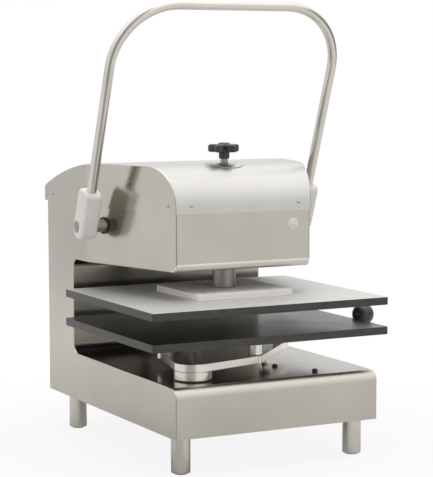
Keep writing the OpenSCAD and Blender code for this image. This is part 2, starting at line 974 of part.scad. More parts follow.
module mount_screws() {
    color("gray")
        translate([0, press_y, plate_z])
            at_corners(mount_screw_dx, mount_screw_dy)
                mount_screw(0);
}

module upper_platen() {
    color("#2a2a2a")
        difference() {
            translate([0, press_y, upper_z])
                linear_extrude(height = platen_t)
                    rounded_rect(platen_w, platen_d, platen_corner_r);
            translate([0, press_y, plate_z])
                at_corners(mount_screw_dx, mount_screw_dy)
                    mount_screw(1);
        }
}

// Screw from the knob down into the ram's bore
module adjuster_screw() {
    color("gray")
        rod_z(0, press_y, screw_d, screw_z, knob_z + knob_neck_h);
}

// Collars above and below the bridge keep the screw in place
module screw_collars() {
    top = bridge_z + bridge_t + slide_gap;
    color("gray")
        difference() {
            union() {
                rod_z(0, press_y, collar_d, bridge_z - slide_gap - collar_h, bridge_z - slide_gap);
                rod_z(0, press_y, collar_d, top, top + bridge_gap - slide_gap);
            }
            rod_z(0, press_y, screw_d, screw_z, knob_z);
        }
}

// Black star knob on top of the cover
module adjuster_knob() {
    lobe_d = knob_d / 3;
    wing_z = knob_z + knob_neck_h;
    color("#222222")
        difference() {
            translate([0, press_y, 0]) {
                rod_z(0, 0, knob_neck_d, knob_z, wing_z);
                translate([0, 0, wing_z])
                    linear_extrude(height = knob_h)
                        star_outline(lobe_d);
                translate([0, 0, wing_z + knob_h])
                    rotate_extrude()
                        knob_crown();
            }
            rod_z(0, press_y, screw_d, knob_z - 1, wing_z);
        }
}

module star_outline(lobe_d) {
    circle(d = knob_d - 1.2 * lobe_d);
    for (k = [1 : knob_lobes])
        rotate(360 * k / knob_lobes)
            translate([0, -lobe_d / 2])
                square([knob_d / 2 - lobe_d / 2, lobe_d]);
    for (k = [1 : knob_lobes])
        rotate(360 * k / knob_lobes)
            translate([knob_d / 2 - lobe_d / 2, 0])
                circle(d = lobe_d);
}

// Low dome in the middle of the star knob
module knob_crown() {
    rise = knob_h / 4;
    r = knob_neck_d * 0.7;
    dome_r = (r * r + rise * rise) / (2 * rise);
    intersection() {
        translate([0, rise - dome_r])
            circle(dome_r, $fn = 180);
        square([r, rise]);
    }
}

// Nut that the screw raises and lowers inside the ram
module stop_nut() {
    color("peru")
        difference() {
            rod_z(0, press_y, ram_bore_d - 2 * run_gap, nut_z, nut_z + nut_h);
            rod_z(0, press_y, screw_d + 2 * run_gap, nut_z - 1, nut_z + nut_h + 1);
        }
}

// Boss under the arm, turning on the pivot pin
module pivot_boss() {
    color("gainsboro")
        difference() {
            rod_z(pivot_x, pivot_y, boss_d, boss_z, arm_z);
            rod_z(pivot_x, pivot_y, pivot_pin_d + 2 * run_gap, boss_z - 1, arm_z + 1);
        }
}

// Line from the pivot to the middle of the lower platen
arm_l = norm([-pivot_x, press_y - pivot_y]);
arm_turn = atan2(press_y - pivot_y, -pivot_x);

// Plan of the arm, along that line: a round end, two flaring edges and a square table
module arm_outline() {
    r = boss_d / 2;
    near = arm_l - arm_table / 2;
    far = arm_l + arm_table / 2;
    edge = arm_table / 2;
    reach = norm([near, edge]);
    side = atan2(edge, near) + acos(r / reach);
    circle(d = boss_d);
    polygon([[r * cos(side), -r * sin(side)], [near, -edge], [far, -edge], [far, edge], [near, edge],
        [r * cos(side), r * sin(side)]]);
}

module swing_arm() {
    color("gainsboro")
        difference() {
            translate([pivot_x, pivot_y, arm_z])
                rotate(arm_turn)
                    linear_extrude(height = arm_t)
                        arm_outline();
            rod_z(pivot_x, pivot_y, pivot_pin_d + 2 * run_gap, arm_z - 1, post_z + 1);
            at_posts()
                post_bolt(1);
        }
}

// The four posts stand at the corners of the arm's table
module at_posts() {
    for (k = [0 : 3])
        translate([0, press_y, 0])
            rotate(arm_turn + 45 + 90 * k)
                translate([post_circle / 2, 0, 0])
                    children();
}

module platen_posts() {
    color("gainsboro")
        difference() {
            at_posts()
                rod_z(0, 0, post_d, post_z, lower_z);
            at_posts()
                post_bolt(1);
        }
}

// A bolt from a counterbore in the arm's underside, up through a post into the platen
module post_bolt(over) {
    head = arm_t / 2;
    rod_z(0, 0, post_bolt_d, arm_z + head, lower_z + platen_t / 2);
    rod_z(0, 0, 1.6 * post_bolt_d, arm_z - over, arm_z + head);
}

module post_bolts() {
    color("gray")
        at_posts()
            post_bolt(0);
}

module lower_platen() {
    color("#2a2a2a")
        difference() {
            translate([0, press_y, lower_z])
                linear_extrude(height = platen_t)
                    rounded_rect(platen_w, platen_d, platen_corner_r);
            at_posts()
                post_bolt(0);
            at_bracket_screws()
                bracket_screw();
        }
}

// Flat bar under the platen's right edge that carries the pull knob
module knob_bracket() {
    inner = platen_w / 2 - bracket_l;
    color("gainsboro")
        difference() {
            translate([0, ball_y, lower_z - bracket_t])
                linear_extrude(height = bracket_t) {
                    translate([inner, -bracket_w / 2])
                        square([ball_x - inner, bracket_w]);
                    translate([ball_x, 0])
                        circle(d = bracket_w);
                }
            rod_z(ball_x, ball_y, ball_stud_d, lower_z - bracket_t - 1, lower_z + 1);
            at_bracket_screws()
                bracket_screw();
        }
}

module at_bracket_screws() {
    for (k = [1, 3])
        translate([platen_w / 2 - bracket_l * k / 4, ball_y, lower_z])
            children();
}

module bracket_screw() {
    rod_z(0, 0, bracket_screw_d, -bracket_t, platen_t / 2);
}

module bracket_screws() {
    color("gray")
        at_bracket_screws() {
            bracket_screw();
            rod_z(0, 0, 1.8 * bracket_screw_d, -bracket_t - bracket_screw_d / 2, -bracket_t);
        }
}

module ball_stud() {
    color("gray")
        rod_z(ball_x, ball_y, ball_stud_d, lower_z - bracket_t, ball_z);
}

// Black ball with a flat seat on its bracket
module ball_knob() {
    seat = ball_d / 20;
    color("#222222")
        difference() {
            translate([ball_x, ball_y, ball_z - seat])
                sphere(d = ball_d);
            box([ball_x - ball_d, ball_y - ball_d, lower_z - ball_d], [ball_x + ball_d, ball_y + ball_d, lower_z]);
            rod_z(ball_x, ball_y, ball_stud_d, lower_z - 1, ball_z);
        }
}

base_shell();
base_plate();
column_shell();
rear_panel();
head_housing();
head_floor_plate();
bearing_plate(-1);  // bearing_plate_left
bearing_plate(1);  // bearing_plate_right
top_cover();
front_plug();
leg(-1, -1);  // leg_front_left
leg(1, -1);  // leg_front_right
leg(-1, 1);  // leg_rear_left
leg(1, 1);  // leg_rear_right
leg_glides();
leg_studs();
leg_nuts();
shaft_bushing(-1);  // shaft_bushing_left
shaft_bushing(1);  // shaft_bushing_right
ram_guide();
guide_screws();
return_spring();
stop_bridge();
bridge_screws();
pivot_block();
pivot_pin();
pivot_washer();
arm_rest_pad();
handle_shaft();
handle_hub(-1);  // handle_hub_left
handle_hub(1);  // handle_hub_right
handle_bail();
drive_pinion();
ram();
ram_cap();
crosshead();
drive_rack();
mount_plate();
upper_platen();
mount_screws();
adjuster_screw();
screw_collars();
adjuster_knob();
stop_nut();
pivot_boss();
swing_arm();
platen_posts();
lower_platen();
post_bolts();
knob_bracket();
bracket_screws();
ball_stud();
ball_knob();
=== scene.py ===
import math

import bmesh
import bpy
from mathutils import Euler, Matrix, Vector


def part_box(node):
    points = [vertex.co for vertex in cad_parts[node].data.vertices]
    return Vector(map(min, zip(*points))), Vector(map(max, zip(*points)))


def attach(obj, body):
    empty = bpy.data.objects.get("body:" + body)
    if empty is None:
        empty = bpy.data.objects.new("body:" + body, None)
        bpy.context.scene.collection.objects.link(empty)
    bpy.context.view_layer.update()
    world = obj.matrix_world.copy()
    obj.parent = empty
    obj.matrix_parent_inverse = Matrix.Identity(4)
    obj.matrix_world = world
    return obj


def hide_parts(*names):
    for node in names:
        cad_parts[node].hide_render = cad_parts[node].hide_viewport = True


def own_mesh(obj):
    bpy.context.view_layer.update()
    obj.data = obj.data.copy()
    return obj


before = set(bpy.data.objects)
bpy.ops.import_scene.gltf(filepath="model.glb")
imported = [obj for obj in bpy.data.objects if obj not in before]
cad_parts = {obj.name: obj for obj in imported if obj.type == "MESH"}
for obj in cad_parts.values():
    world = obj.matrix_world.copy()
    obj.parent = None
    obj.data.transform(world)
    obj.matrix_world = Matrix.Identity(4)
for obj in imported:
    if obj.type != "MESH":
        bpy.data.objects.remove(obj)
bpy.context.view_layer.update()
scene = bpy.context.scene


# Camera
# The photograph's viewpoint: a long lens off the press's left front corner, a little above it.
# Its place and focal length come from the picture's own lines, for an image of 433 by 477 pixels.
image_w, image_h = 433, 477
focal_px = 1737.4
lens = bpy.data.cameras.new("photo_camera")
lens.sensor_width = 36
lens.lens = focal_px * lens.sensor_width / max(image_w, image_h)
lens.clip_end = 100
camera = bpy.data.objects.new("photo_camera", lens)
camera.location = (-1.6057, -3.086, 0.748)
camera.rotation_euler = Euler((math.radians(90 - 5.59), 0, math.radians(-27.85)))
scene.collection.objects.link(camera)
scene.camera = camera


# Press frame
# The base, column and head are one C of folded stainless sheet. The wrap runs up the base's front,
# over its top, up the column and out under the head. The two side panels are welded on flush, and each
# is bent once behind the handle shaft, so that the head tapers to its front.
MM = 0.001


def box_mm(node):
    """A CAD node's lowest and highest corners, in millimetres."""
    return [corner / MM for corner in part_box(node)]


def middle(node):
    """The middle of a CAD node's box, in millimetres."""
    low, high = box_mm(node)
    return (low + high) / 2


base_low, base_high = box_mm("base_shell")
base_front, base_foot, half_w = base_low.y, base_low.z, base_high.x
base_back, base_top = base_high.y, base_high.z
head_low, head_high = box_mm("head_housing")
head_front, head_under, column_front = head_low.y, head_low.z, head_high.y
wall_top = box_mm("column_shell")[1].z
head_front_half = 147.0
side_bend_y = column_front - 70.0
side_slope = (half_w - head_front_half) / (side_bend_y - head_front)
side_tilt = math.atan(side_slope)
sheet = 2.0


def arc(centre, r, start, end, steps=14):
    """Points along an arc, as depth and height, between two angles in degrees."""
    angles = [math.radians(start + (end - start) * k / steps) for k in range(steps + 1)]
    return [(centre[0] + r * math.cos(a), centre[1] + r * math.sin(a)) for a in angles]


def head_half(y, grow=0.0):
    """Half width of the head at a depth, grown square to its sides: flush, then tapering past the bend."""
    tapered = half_w + grow * math.hypot(1, side_slope) - (side_bend_y - y) * side_slope
    return min(half_w + grow, tapered)


def new_piece(name, bm, *materials):
    """An object from a mesh that was drawn in millimetres, with its materials."""
    bmesh.ops.scale(bm, vec=(MM, MM, MM), verts=bm.verts)
    mesh = bpy.data.meshes.new(name)
    bm.to_mesh(mesh)
    bm.free()
    mesh.shade_smooth()
    for material in materials:
        mesh.materials.append(material)
    made = bpy.data.objects.new(name, mesh)
    scene.collection.objects.link(made)
    return made


def bake(piece):
    """Turns a piece's modifiers into plain mesh."""
    graph = bpy.context.evaluated_depsgraph_get()
    shown = piece.evaluated_get(graph)
    mesh = bpy.data.meshes.new_from_object(shown, preserve_all_data_layers=True, depsgraph=graph)
    piece.modifiers.clear()
    drawn, piece.data = piece.data, mesh
    bpy.data.meshes.remove(drawn)
    mesh.name = piece.name
    return piece


def round_edges(piece, r, steps=3, least_angle=32, material=-1):
    """Rounds each edge that is sharper than an angle, and keeps the flats flat."""
    edges = piece.modifiers.new("edges", "BEVEL")
    edges.width = r * MM
    edges.segments = steps
    edges.limit_method = "ANGLE"
    edges.angle_limit = math.radians(least_angle)
    edges.harden_normals = True
    edges.material = material
    return bake(piece)


def flat_normals(piece, sharp=40):
    """Keeps wide faces evenly lit beside their rounded edges."""
    piece.data.set_sharp_from_angle(angle=math.radians(sharp))
    weigh = piece.modifiers.new("normals", "WEIGHTED_NORMAL")
    weigh.keep_sharp = True
    weigh.weight = 90
    return bake(piece)


def cut_away(piece, bm):
    """Cuts a drawn shape out of a piece."""
    tool = new_piece("cutting_tool", bm)
    cut = piece.modifiers.new("cut", "BOOLEAN")
    cut.operation = "DIFFERENCE"
    cut.solver = "EXACT"
    cut.object = tool
    bake(piece)
    bpy.data.meshes.remove(tool.data)
    return piece


def drill(piece, centre, d, depth, sides=72):
    """Cuts an upright hole, with sizes in millimetres."""
    bm = bmesh.new()
    bmesh.ops.create_cone(bm, cap_ends=True, segments=sides, radius1=d / 2, radius2=d / 2, depth=depth)
    bmesh.ops.translate(bm, verts=bm.verts, vec=centre)
    return cut_away(piece, bm)


def lay_grain(piece):
    """Writes the sheet's brushing direction as a UV map, in metres: u along the lines, v across them."""
    mesh = piece.data
    layer = mesh.uv_layers.get("grain") or mesh.uv_layers.new(name="grain")
    for face in mesh.polygons:
        facing = max(range(3), key=lambda k: abs(face.normal[k]))
        along, across = ((1, 2), (0, 2), (0, 1))[facing]
        for corner in face.loop_indices:
            place = mesh.vertices[mesh.loops[corner].vertex_index].co
            layer.data[corner].uv = (place[along], place[across])


def linear(hex_colour):
    """A colour written as sRGB hex, in Blender's linear values."""
    parts = [int(hex_colour[k : k + 2], 16) / 255 for k in (1, 3, 5)]
    return tuple(c / 12.92 if c <= 0.04045 else ((c + 0.055) / 1.055) ** 2.4 for c in parts) + (1.0,)


def put(tree, kind, inputs=None, **settings):
    """Adds a node with its settings and links. An input may be a value, a socket or a whole node."""
    made = tree.nodes.new(kind)
    for key, value in settings.items():
        setattr(made, key, value)
    for key, value in (inputs or {}).items():
        if isinstance(value, bpy.types.Node):
            value = next(output for output in value.outputs if output.enabled)
        if isinstance(value, bpy.types.NodeSocket):
            tree.links.new(value, made.inputs[key])
        else:
            made.inputs[key].default_value = value
    return made


def worked_surface(name, roughness, patterns, tone, gloss=None, relief=None, span=(0.3, 0.7),
        metallic=0.0, ior=1.5, more=None):
    """A finish drawn from noise patterns. Each has a size in millimetres, or three along X, Y and Z, and a
    detail, and lies in the piece's own space or on a UV map named after these. Tone, gloss and relief name
    a pattern and what it shifts: two colours, two roughnesses, or a strength with a height in millimetres.
    More holds what else is set on the shader."""
    made = bpy.data.materials.new(name)
    made.use_nodes = True
    tree = made.node_tree
    shader = tree.nodes["Principled BSDF"]
    for key, value in {"Roughness": roughness, "Metallic": metallic, "IOR": ior, **(more or {})}.items():
        shader.inputs[key].default_value = value
    noise = {}
    for key, (size, detail, *uv_map) in patterns.items():
        if uv_map:
            place = put(tree, "ShaderNodeUVMap", uv_map=uv_map[0])
        else:
            place = put(tree, "ShaderNodeTexCoord").outputs["Object"]
        sizes = size if isinstance(size, tuple) else (size,) * 3
        stretch = put(tree, "ShaderNodeMapping", {"Vector": place, "Scale": [1 / (s * MM) for s in sizes]})
        noise[key] = put(tree, "ShaderNodeTexNoise", {"Vector": stretch, "Scale": 1.0, "Detail": detail})
    pattern, darker, lighter = tone
    blend = put(tree, "ShaderNodeMix", {
        0: noise[pattern], 6: linear(darker), 7: linear(lighter)}, data_type="RGBA")
    tree.links.new(blend.outputs[2], shader.inputs["Base Color"])
    if gloss:
        pattern, least, most = gloss
        spread = put(tree, "ShaderNodeMapRange", {"Value": noise[pattern], "From Min": span[0],
            "From Max": span[1], "To Min": least, "To Max": most})
        tree.links.new(spread.outputs["Result"], shader.inputs["Roughness"])
    if relief:
        pattern, strength, height = relief
        bump = put(tree, "ShaderNodeBump", {
            "Height": noise[pattern], "Strength": strength, "Distance": height * MM})
        tree.links.new(bump.outputs["Normal"], shader.inputs["Normal"])
    return made


def stainless_sheet(name, darker, lighter, least, most):
    """Stainless sheet with a fine brushed finish: its lines blur what it mirrors, mostly across them."""
    # Real brushing is about 0.2 mm wide: it is drawn 1.8 mm wide and 90 mm long, so that it shows.
    made = worked_surface(name, least, {"lines": ((90, 1.8, 1000), 3, "grain"), "hands": (160, 2)},
        ("hands", darker, lighter), gloss=("lines", least, most), relief=("lines", 0.06, 0.2), metallic=1.0,
        more={"Anisotropic": 0.5, "Anisotropic Rotation": 0.25})
    tree = made.node_tree
    lie = put(tree, "ShaderNodeTangent", direction_type="UV_MAP", uv_map="grain")
    tree.links.new(lie.outputs[0], tree.nodes["Principled BSDF"].inputs["Tangent"])
    return made


def fold_sheet(name, bm, edges, corner, *materials):
    """A folded piece: a wrap spanned between its two edges, with ground corners and its thickness inwards."""
    for k in range(len(edges[1]) - 1):
        bm.faces.new([edges[-1][k], edges[1][k], edges[1][k + 1], edges[-1][k + 1]])
    bmesh.ops.recalc_face_normals(bm, faces=bm.faces)
    if min(bm.faces, key=lambda f: f.calc_center_median().y).normal.y > 0:
        bmesh.ops.reverse_faces(bm, faces=bm.faces)
    piece = new_piece(name, bm, *materials)
    weld = piece.modifiers.new("ground_corners", "BEVEL")
    weld.width = corner * MM
    weld.segments = 4
    weld.limit_method = "ANGLE"
    weld.angle_limit = math.radians(15)
    wall = piece.modifiers.new("sheet", "SOLIDIFY")
    wall.thickness = sheet * MM
    wall.offset = -1
    wall.use_even_offset = True
    return bake(piece)


base_bend, head_bend, base_cove, head_cove = 20, 16, 20, 16
# Bending has pulled the base's top down a little behind the front bend: distance from the front, and drop.
sag = ((base_bend, 1.0), (40, 0.5), (60, 0.2), (80, 0.05), (100, 0.0))
wrap = [(base_front, base_foot)]
wrap += arc((base_front + base_bend, base_top - sag[0][1] - base_bend), base_bend, 180, 91.5)
wrap += [(base_front + reach, base_top - drop) for reach, drop in sag[1:]]
wrap += arc((column_front - base_cove, base_top + base_cove), base_cove, 270, 360, 8)
column_end = len(wrap)
wrap += arc((column_front - head_cove, head_under - head_cove), head_cove, 0, 90, 8)
side_bend_at = len(wrap)
wrap += [(side_bend_y, head_under)]
wrap += arc((head_front + head_bend, head_under + head_bend), head_bend, 270, 180)
wrap += [(head_front, wall_top)]
bm = bmesh.new()
edges = {}
for side in (-1, 1):
    widths = [half_w if k <= column_end else head_half(y) for k, (y, z) in enumerate(wrap)]
    edges[side] = [bm.verts.new((side * w, y, z)) for w, (y, z) in zip(widths, wrap)]
    bend_top = bm.verts.new((side * half_w, side_bend_y, wall_top))
    back = [bm.verts.new((side * half_w, base_back, z)) for z in (wall_top, base_top, base_foot)]
    edges[side, "back"] = back[1:]
    bm.faces.new(edges[side][: side_bend_at + 1] + [bend_top] + back)
    bm.faces.new(edges[side][side_bend_at:] + [bend_top])
bm.faces.new([edges[-1, "back"][0], edges[1, "back"][0], edges[1, "back"][1], edges[-1, "back"][1]])
# The outside of the head's lower bend is drawn lighter than the flat sheet: a painted highlight, for the
# light the bend catches.
# The base's front bend and the column's foot were brushed again by hand, and blur more.
brushed = stainless_sheet("stainless_sheet_brushed", "#AFAAA1", "#C3BFB6", 0.13, 0.22)
bend_highlight = stainless_sheet("stainless_bend_burnished", "#DAD7D0", "#E8E6E0", 0.16, 0.26)
rebrushed = stainless_sheet("stainless_bend_rebrushed", "#AFAAA1", "#C3BFB6", 0.26, 0.36)
corner_r = 3.0
press_frame = fold_sheet("press_frame", bm, edges, corner_r, brushed, bend_highlight, rebrushed)
press_axis = middle("ram")
drill(press_frame, (0, press_axis.y, head_under), d=48, depth=20)
flat_normals(press_frame)
lay_grain(press_frame)
for face in press_frame.data.polygons:
    y, z = face.center.y / MM, face.center.z / MM
    on_head_bend = max(y - head_front, z - head_under) < head_bend
    on_front_bend = y - base_front < base_bend and -base_bend < z - base_top < 1
    on_foot = -1 < column_front - y < base_cove and -1 < z - base_top < base_cove
    # The head's lower bend takes the lighter sheet, a painted highlight.
    if on_head_bend and max(face.normal.y, face.normal.z) < -0.05:
        face.material_index = 1
    elif (on_front_bend or on_foot) and face.normal.y < -0.02 and face.normal.z > 0.02:
        face.material_index = 2
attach(press_frame, "frame")
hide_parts("base_shell", "column_shell", "head_housing")


# Base plate, leg studs and nuts
# A flat steel plate closes the base from below and carries the legs, each held by a stud and a nut.
# Plain cold-rolled steel, greyer and duller than the stainless round it, and mottled by its mill skin.
plain_steel = worked_surface("steel_cold_rolled_plain", 0.42, {"mottle": (18, 4)},
    ("mottle", "#8B8985", "#A5A29C"), gloss=("mottle", 0.34, 0.50), span=(0, 1), metallic=1.0)


def finish_node(name, material):
    """Gives a CAD node that keeps its shape its real finish."""
    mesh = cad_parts[name].data
    mesh.materials.clear()
    mesh.materials.append(material)


for name in ("base_plate", "leg_studs", "leg_nuts"):
    finish_node(name, plain_steel)


# Legs
# Four turned and polished stainless legs, screwed to the base plate, each on a pressed-in nylon glide.
# The lower edge is rounded over, and a fine groove from the parting tool shows where it meets the plate.
# The polish is a bright mirror with faint rings from the lathe, drawn 1.6 mm apart so that they show.
polished = worked_surface("stainless_bar_polished", 0.16, {"rings": ((125, 125, 1.6), 2), "haze": (50, 3)},
    ("haze", "#C4C0B8", "#D8D4CC"), gloss=("rings", 0.12, 0.22), metallic=1.0)

# Pale nylon, moulded: slightly see-through at its edges and satin all over.
pale_nylon = worked_surface("nylon_moulded_pale", 0.45, {"scuff": (6, 3)},
    ("scuff", "#DAD6CC", "#EFEBE2"), ior=1.53,
    more={"Subsurface Weight": 0.15, "Subsurface Radius": (0.002, 0.002, 0.0018)})


def turn(profile, steps=72):
    """A mesh turned round Z from radius and height pairs, listed outwards from the lower end. A radius may
    also be a list, with one for each step."""
    bm = bmesh.new()
    closed = profile[0] == profile[-1]
    angles = [2 * math.pi * k / steps for k in range(steps)]
    rings = []
    for r, z in profile[: len(profile) - closed]:
        radii = r if isinstance(r, list) else [r] * (steps if r > 0 else 1)
        rings.append([bm.verts.new((r * math.cos(a), r * math.sin(a), z)) for r, a in zip(radii, angles)])
    if closed:
        rings.append(rings[0])
    for low, high in zip(rings, rings[1:]):
        for k in range(steps):
            j = (k + 1) % steps
            corners = [low[k % len(low)], low[j % len(low)], high[j % len(high)], high[k % len(high)]]
            bm.faces.new(list(dict.fromkeys(corners)))
    return bm


def ease(outline, r, steps=4, closed=False):
    """Rounds the corners of an outline. An open outline keeps its two ends."""
    eased = []
    for k, corner in enumerate(outline):
        if not closed and k in (0, len(outline) - 1):
            eased.append(tuple(corner))
            continue
        here = Vector(corner)
        before = Vector(outline[k - 1]) - here
        after = Vector(outline[(k + 1) % len(outline)]) - here
        reach = min(r, before.length * 0.48, after.length * 0.48)
        start, end = here + before.normalized() * reach, here + after.normalized() * reach
        for t in (n / steps for n in range(steps + 1)):
            eased.append(tuple(start * (1 - t) ** 2 + here * (2 * t * (1 - t)) + end * t ** 2))
    return eased


def bar_profile(r, low, high, edge, bore=0):
    """The profile of a turned bar, or of a ring where it has a bore, with eased edges."""
    corners = [(bore, low), (r, low), (r, high), (bore, high)]
    eased = ease(corners, edge, closed=bore > 0)
    return eased + eased[:1] if bore else eased


def start_tree(name, numbers):
    """A Geometry Nodes tree with named inputs for its sizes, an object and a material."""
    tree = bpy.data.node_groups.new(name, "GeometryNodeTree")
    tree.interface.new_socket("Geometry", in_out="OUTPUT", socket_type="NodeSocketGeometry")
    inputs = [("Geometry", "Geometry"), *((label, "Float") for label in numbers),
        ("Shape", "Object"), ("Finish", "Material")]
    for label, kind in inputs:
        tree.interface.new_socket(label, in_out="INPUT", socket_type="NodeSocket" + kind)
    return tree, tree.nodes.new("NodeGroupInput").outputs


def end_tree(tree, given, geometry):
    """Closes a tree: real mesh instead of instances, and its material."""
    real = put(tree, "GeometryNodeRealizeInstances", {"Geometry": geometry})
    finish = put(tree, "GeometryNodeSetMaterial", {"Geometry": real, "Material": given["Finish"]})
    put(tree, "NodeGroupOutput", {"Geometry": finish})


def grow(name, tree, values, points=((0, 0, 0),), aims=None):
    """Runs a tree on points in millimetres and keeps what it makes as a plain mesh."""
    mesh = bpy.data.meshes.new(name)
    mesh.from_pydata([Vector(p) * MM for p in points], [], [])
    if aims:
        aim = mesh.attributes.new("aim", "FLOAT_VECTOR", "POINT")
        aim.data.foreach_set("vector", [c for a in aims for c in a])
    made = bpy.data.objects.new(name, mesh)
    scene.collection.objects.link(made)
    nodes = made.modifiers.new("nodes", "NODES")
    nodes.node_group = tree
    for socket in tree.interface.items_tree:
        if socket.in_out == "INPUT" and socket.name in values:
            nodes[socket.identifier] = values[socket.name]
    return bake(made)


# One shape set on every point, turned from Z to the point's aim and then spun by a seeded amount.
repeat_tree, given = start_tree("set_on_points", ["Spin", "Seed"])
aim = put(repeat_tree, "GeometryNodeInputNamedAttribute", {"Name": "aim"}, data_type="FLOAT_VECTOR")
lean = put(repeat_tree, "FunctionNodeAlignRotationToVector", {"Vector": aim}, axis="Z")
seed = put(repeat_tree, "FunctionNodeFloatToInt", {0: given["Seed"]})
chance = put(repeat_tree, "FunctionNodeRandomValue", {
    2: 0.0, 3: given["Spin"], "Seed": seed}, data_type="FLOAT")
spin = put(repeat_tree, "FunctionNodeAxisAngleToRotation", {"Axis": (0, 0, 1), "Angle": chance})
turned = put(repeat_tree, "FunctionNodeRotateRotation", {0: lean, 1: spin}, rotation_space="LOCAL")
shape = put(repeat_tree, "GeometryNodeObjectInfo", {"Object": given["Shape"]})
copies = put(repeat_tree, "GeometryNodeInstanceOnPoints", {
    "Points": given["Geometry"], "Instance": shape.outputs["Geometry"], "Rotation": turned})
end_tree(repeat_tree, given, copies)


def repeat(name, shape, material, points, aims=None, spin=0.0):
    """Sets copies of one shape, a piece or a mesh, on points. The shape itself isn't kept."""
    drawing = shape if isinstance(shape, bpy.types.Object) else new_piece(name + "_drawing", shape)
    flat_normals(drawing)
    aims = aims or [(0, 0, 1)] * len(points)
    values = {"Shape": drawing, "Finish": material, "Spin": spin, "Seed": 7.0}
    made = grow(name, repeat_tree, values, points, aims)
    bpy.data.meshes.remove(drawing.data)
    return made


leg_names = ("leg_front_left", "leg_front_right", "leg_rear_left", "leg_rear_right")
leg_spots = [(middle(name).x, middle(name).y, 0) for name in leg_names]
leg_low, leg_high = box_mm("leg_front_left")
leg_foot, leg_r = leg_low.z, (leg_high.x - leg_low.x) / 2
groove_r = leg_r - 0.7
leg = ease([(0, leg_foot), (leg_r, leg_foot), (leg_r, base_foot - 8)], 1.5)
leg += [(leg_r, base_foot - 4), (groove_r, base_foot - 3.2), (groove_r, base_foot - 1), (0, base_foot - 0.2)]
legs = repeat("legs", turn(leg, 96), polished, leg_spots)
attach(legs, "frame")
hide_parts(*leg_names)

glide = bar_profile(12, 0, leg_foot + 1, edge=1.2)
glides = repeat("leg_glide_set", turn(glide), pale_nylon, leg_spots)
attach(glides, "frame")
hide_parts("leg_glides")


# Rear panel
# A flat stainless panel let in flush between the column's sides, held by eight pan-head screws.
# Its edges are only broken, not bent, so a thin dark line shows all round it.
def slab(outline, low, high):
    """An upright prism of an outline, which runs counter-clockwise from above."""
    bm = bmesh.new()
    foot = [bm.verts.new((x, y, low)) for x, y in outline]
    top = [bm.verts.new((x, y, high)) for x, y in outline]
    bm.faces.new(list(reversed(foot)))
    bm.faces.new(top)
    for k in range(len(outline)):
        j = (k + 1) % len(outline)
        bm.faces.new([foot[k], foot[j], top[j], top[k]])
    return bm


panel_low, panel_high = box_mm("rear_panel")
panel_play, panel_inset, panel_top_inset, row_drop = 0.6, 12, 26, 8
left, right = panel_low.x + panel_play, panel_high.x - panel_play
outline = [(left, panel_low.y), (right, panel_low.y), (right, panel_high.y), (left, panel_high.y)]
bm = slab(outline, panel_low.z + panel_play, panel_high.z - panel_play)
rear_panel = round_edges(new_piece("rear_cover_panel", bm, brushed), r=0.5)
lay_grain(rear_panel)
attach(rear_panel, "frame")
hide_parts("rear_panel")


def pan_head(d, rise):
    """A pan-head screw's head with a cross recess, seated on the plane it is set on."""
    r, recess = d / 2, rise * 0.6
    head = ease([(0, -0.4), (r, -0.4), (r, rise * 0.45), (r * 0.72, rise * 0.92), (0, rise)], r * 0.22)
    made = new_piece("pan_head", turn(head, 32))
    for across, along in ((0.56, 0.13), (0.13, 0.56)):
        bm = bmesh.new()
        bmesh.ops.create_cube(bm, size=1)
        bmesh.ops.scale(bm, vec=(d * across, d * along, 2 * recess), verts=bm.verts)
        bmesh.ops.translate(bm, verts=bm.verts, vec=(0, 0, rise))
        cut_away(made, bm)
    return made


# Screw heads of zinc-plated steel: bright, and a little clouded by the plating.
zinc = worked_surface("steel_screw_zinc_plated", 0.3, {"cloud": (3, 2)},
    ("cloud", "#AFACA5", "#CFCCC5"), metallic=1.0)
screw_columns = (panel_low.x + panel_inset, panel_high.x - panel_inset)
screw_rows = (panel_low.z + panel_inset, (panel_low.z * 2 + panel_high.z) / 3,
    (panel_low.z + panel_high.z * 2) / 3 - row_drop, panel_high.z - panel_top_inset)
spots = [(x, panel_high.y, z) for x in screw_columns for z in screw_rows]
panel_screws = repeat("rear_panel_screws", pan_head(d=8, rise=2.6), zinc,
    spots, [(0, 1, 0)] * len(spots), spin=math.pi)
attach(panel_screws, "frame")


# Works inside the head
# The floor plate, bearing plates, bridge and their screws stay as built: sawn and drilled steel plate
# that the cover hides. The ram's guide is bronze, left as it came from the lathe, with rings 1.2 mm apart.
for name in ("head_floor_plate", "bearing_plate_left", "bearing_plate_right", "guide_screws", "stop_bridge",
        "bridge_screws"):
    finish_node(name, plain_steel)

bronze = worked_surface("bronze_turned", 0.36, {"rings": ((1000 / 12, 1000 / 12, 1.2), 2)},
    ("rings", "#9C7442", "#C19A60"), metallic=1.0)
finish_node("ram_guide", bronze)


# Top cover
# One folded stainless hood: a front that rolls over into the roof, a long slope to the back and a short
# lip behind. Its two ends are welded in from the frame's own sheet, and its foot stands proud along a seam.
# Its folded faces are drawn lighter than its two ends: a painted highlight, for the light the hood catches.
cover_low, cover_high = box_mm("top_cover")
cover_r, roof_r, slope_y = 80.0, 760.0, 20.0
cover_grow = cover_high.x - half_w
roof_centre = (slope_y, cover_high.z - roof_r)
slope_end = math.degrees(math.acos((cover_high.y - slope_y) / roof_r))
bend_y = side_bend_y - cover_grow * math.tan(side_tilt / 2)
slope_points = arc(roof_centre, roof_r, 90, slope_end, 24)
bend_z = cover_high.z - roof_r + math.sqrt(roof_r ** 2 - (bend_y - slope_y) ** 2)
hood = [(cover_low.y, cover_low.z)]
hood += arc((cover_low.y + cover_r, cover_high.z - cover_r), cover_r, 180, 90, 28)
hood += [p for p in slope_points if p[0] < bend_y - 1] + [(bend_y, bend_z)]
bend_at = len(hood) - 1
hood += [p for p in slope_points if p[0] > bend_y + 1] + [(cover_high.y, cover_low.z)]
bm = bmesh.new()
edges = {}
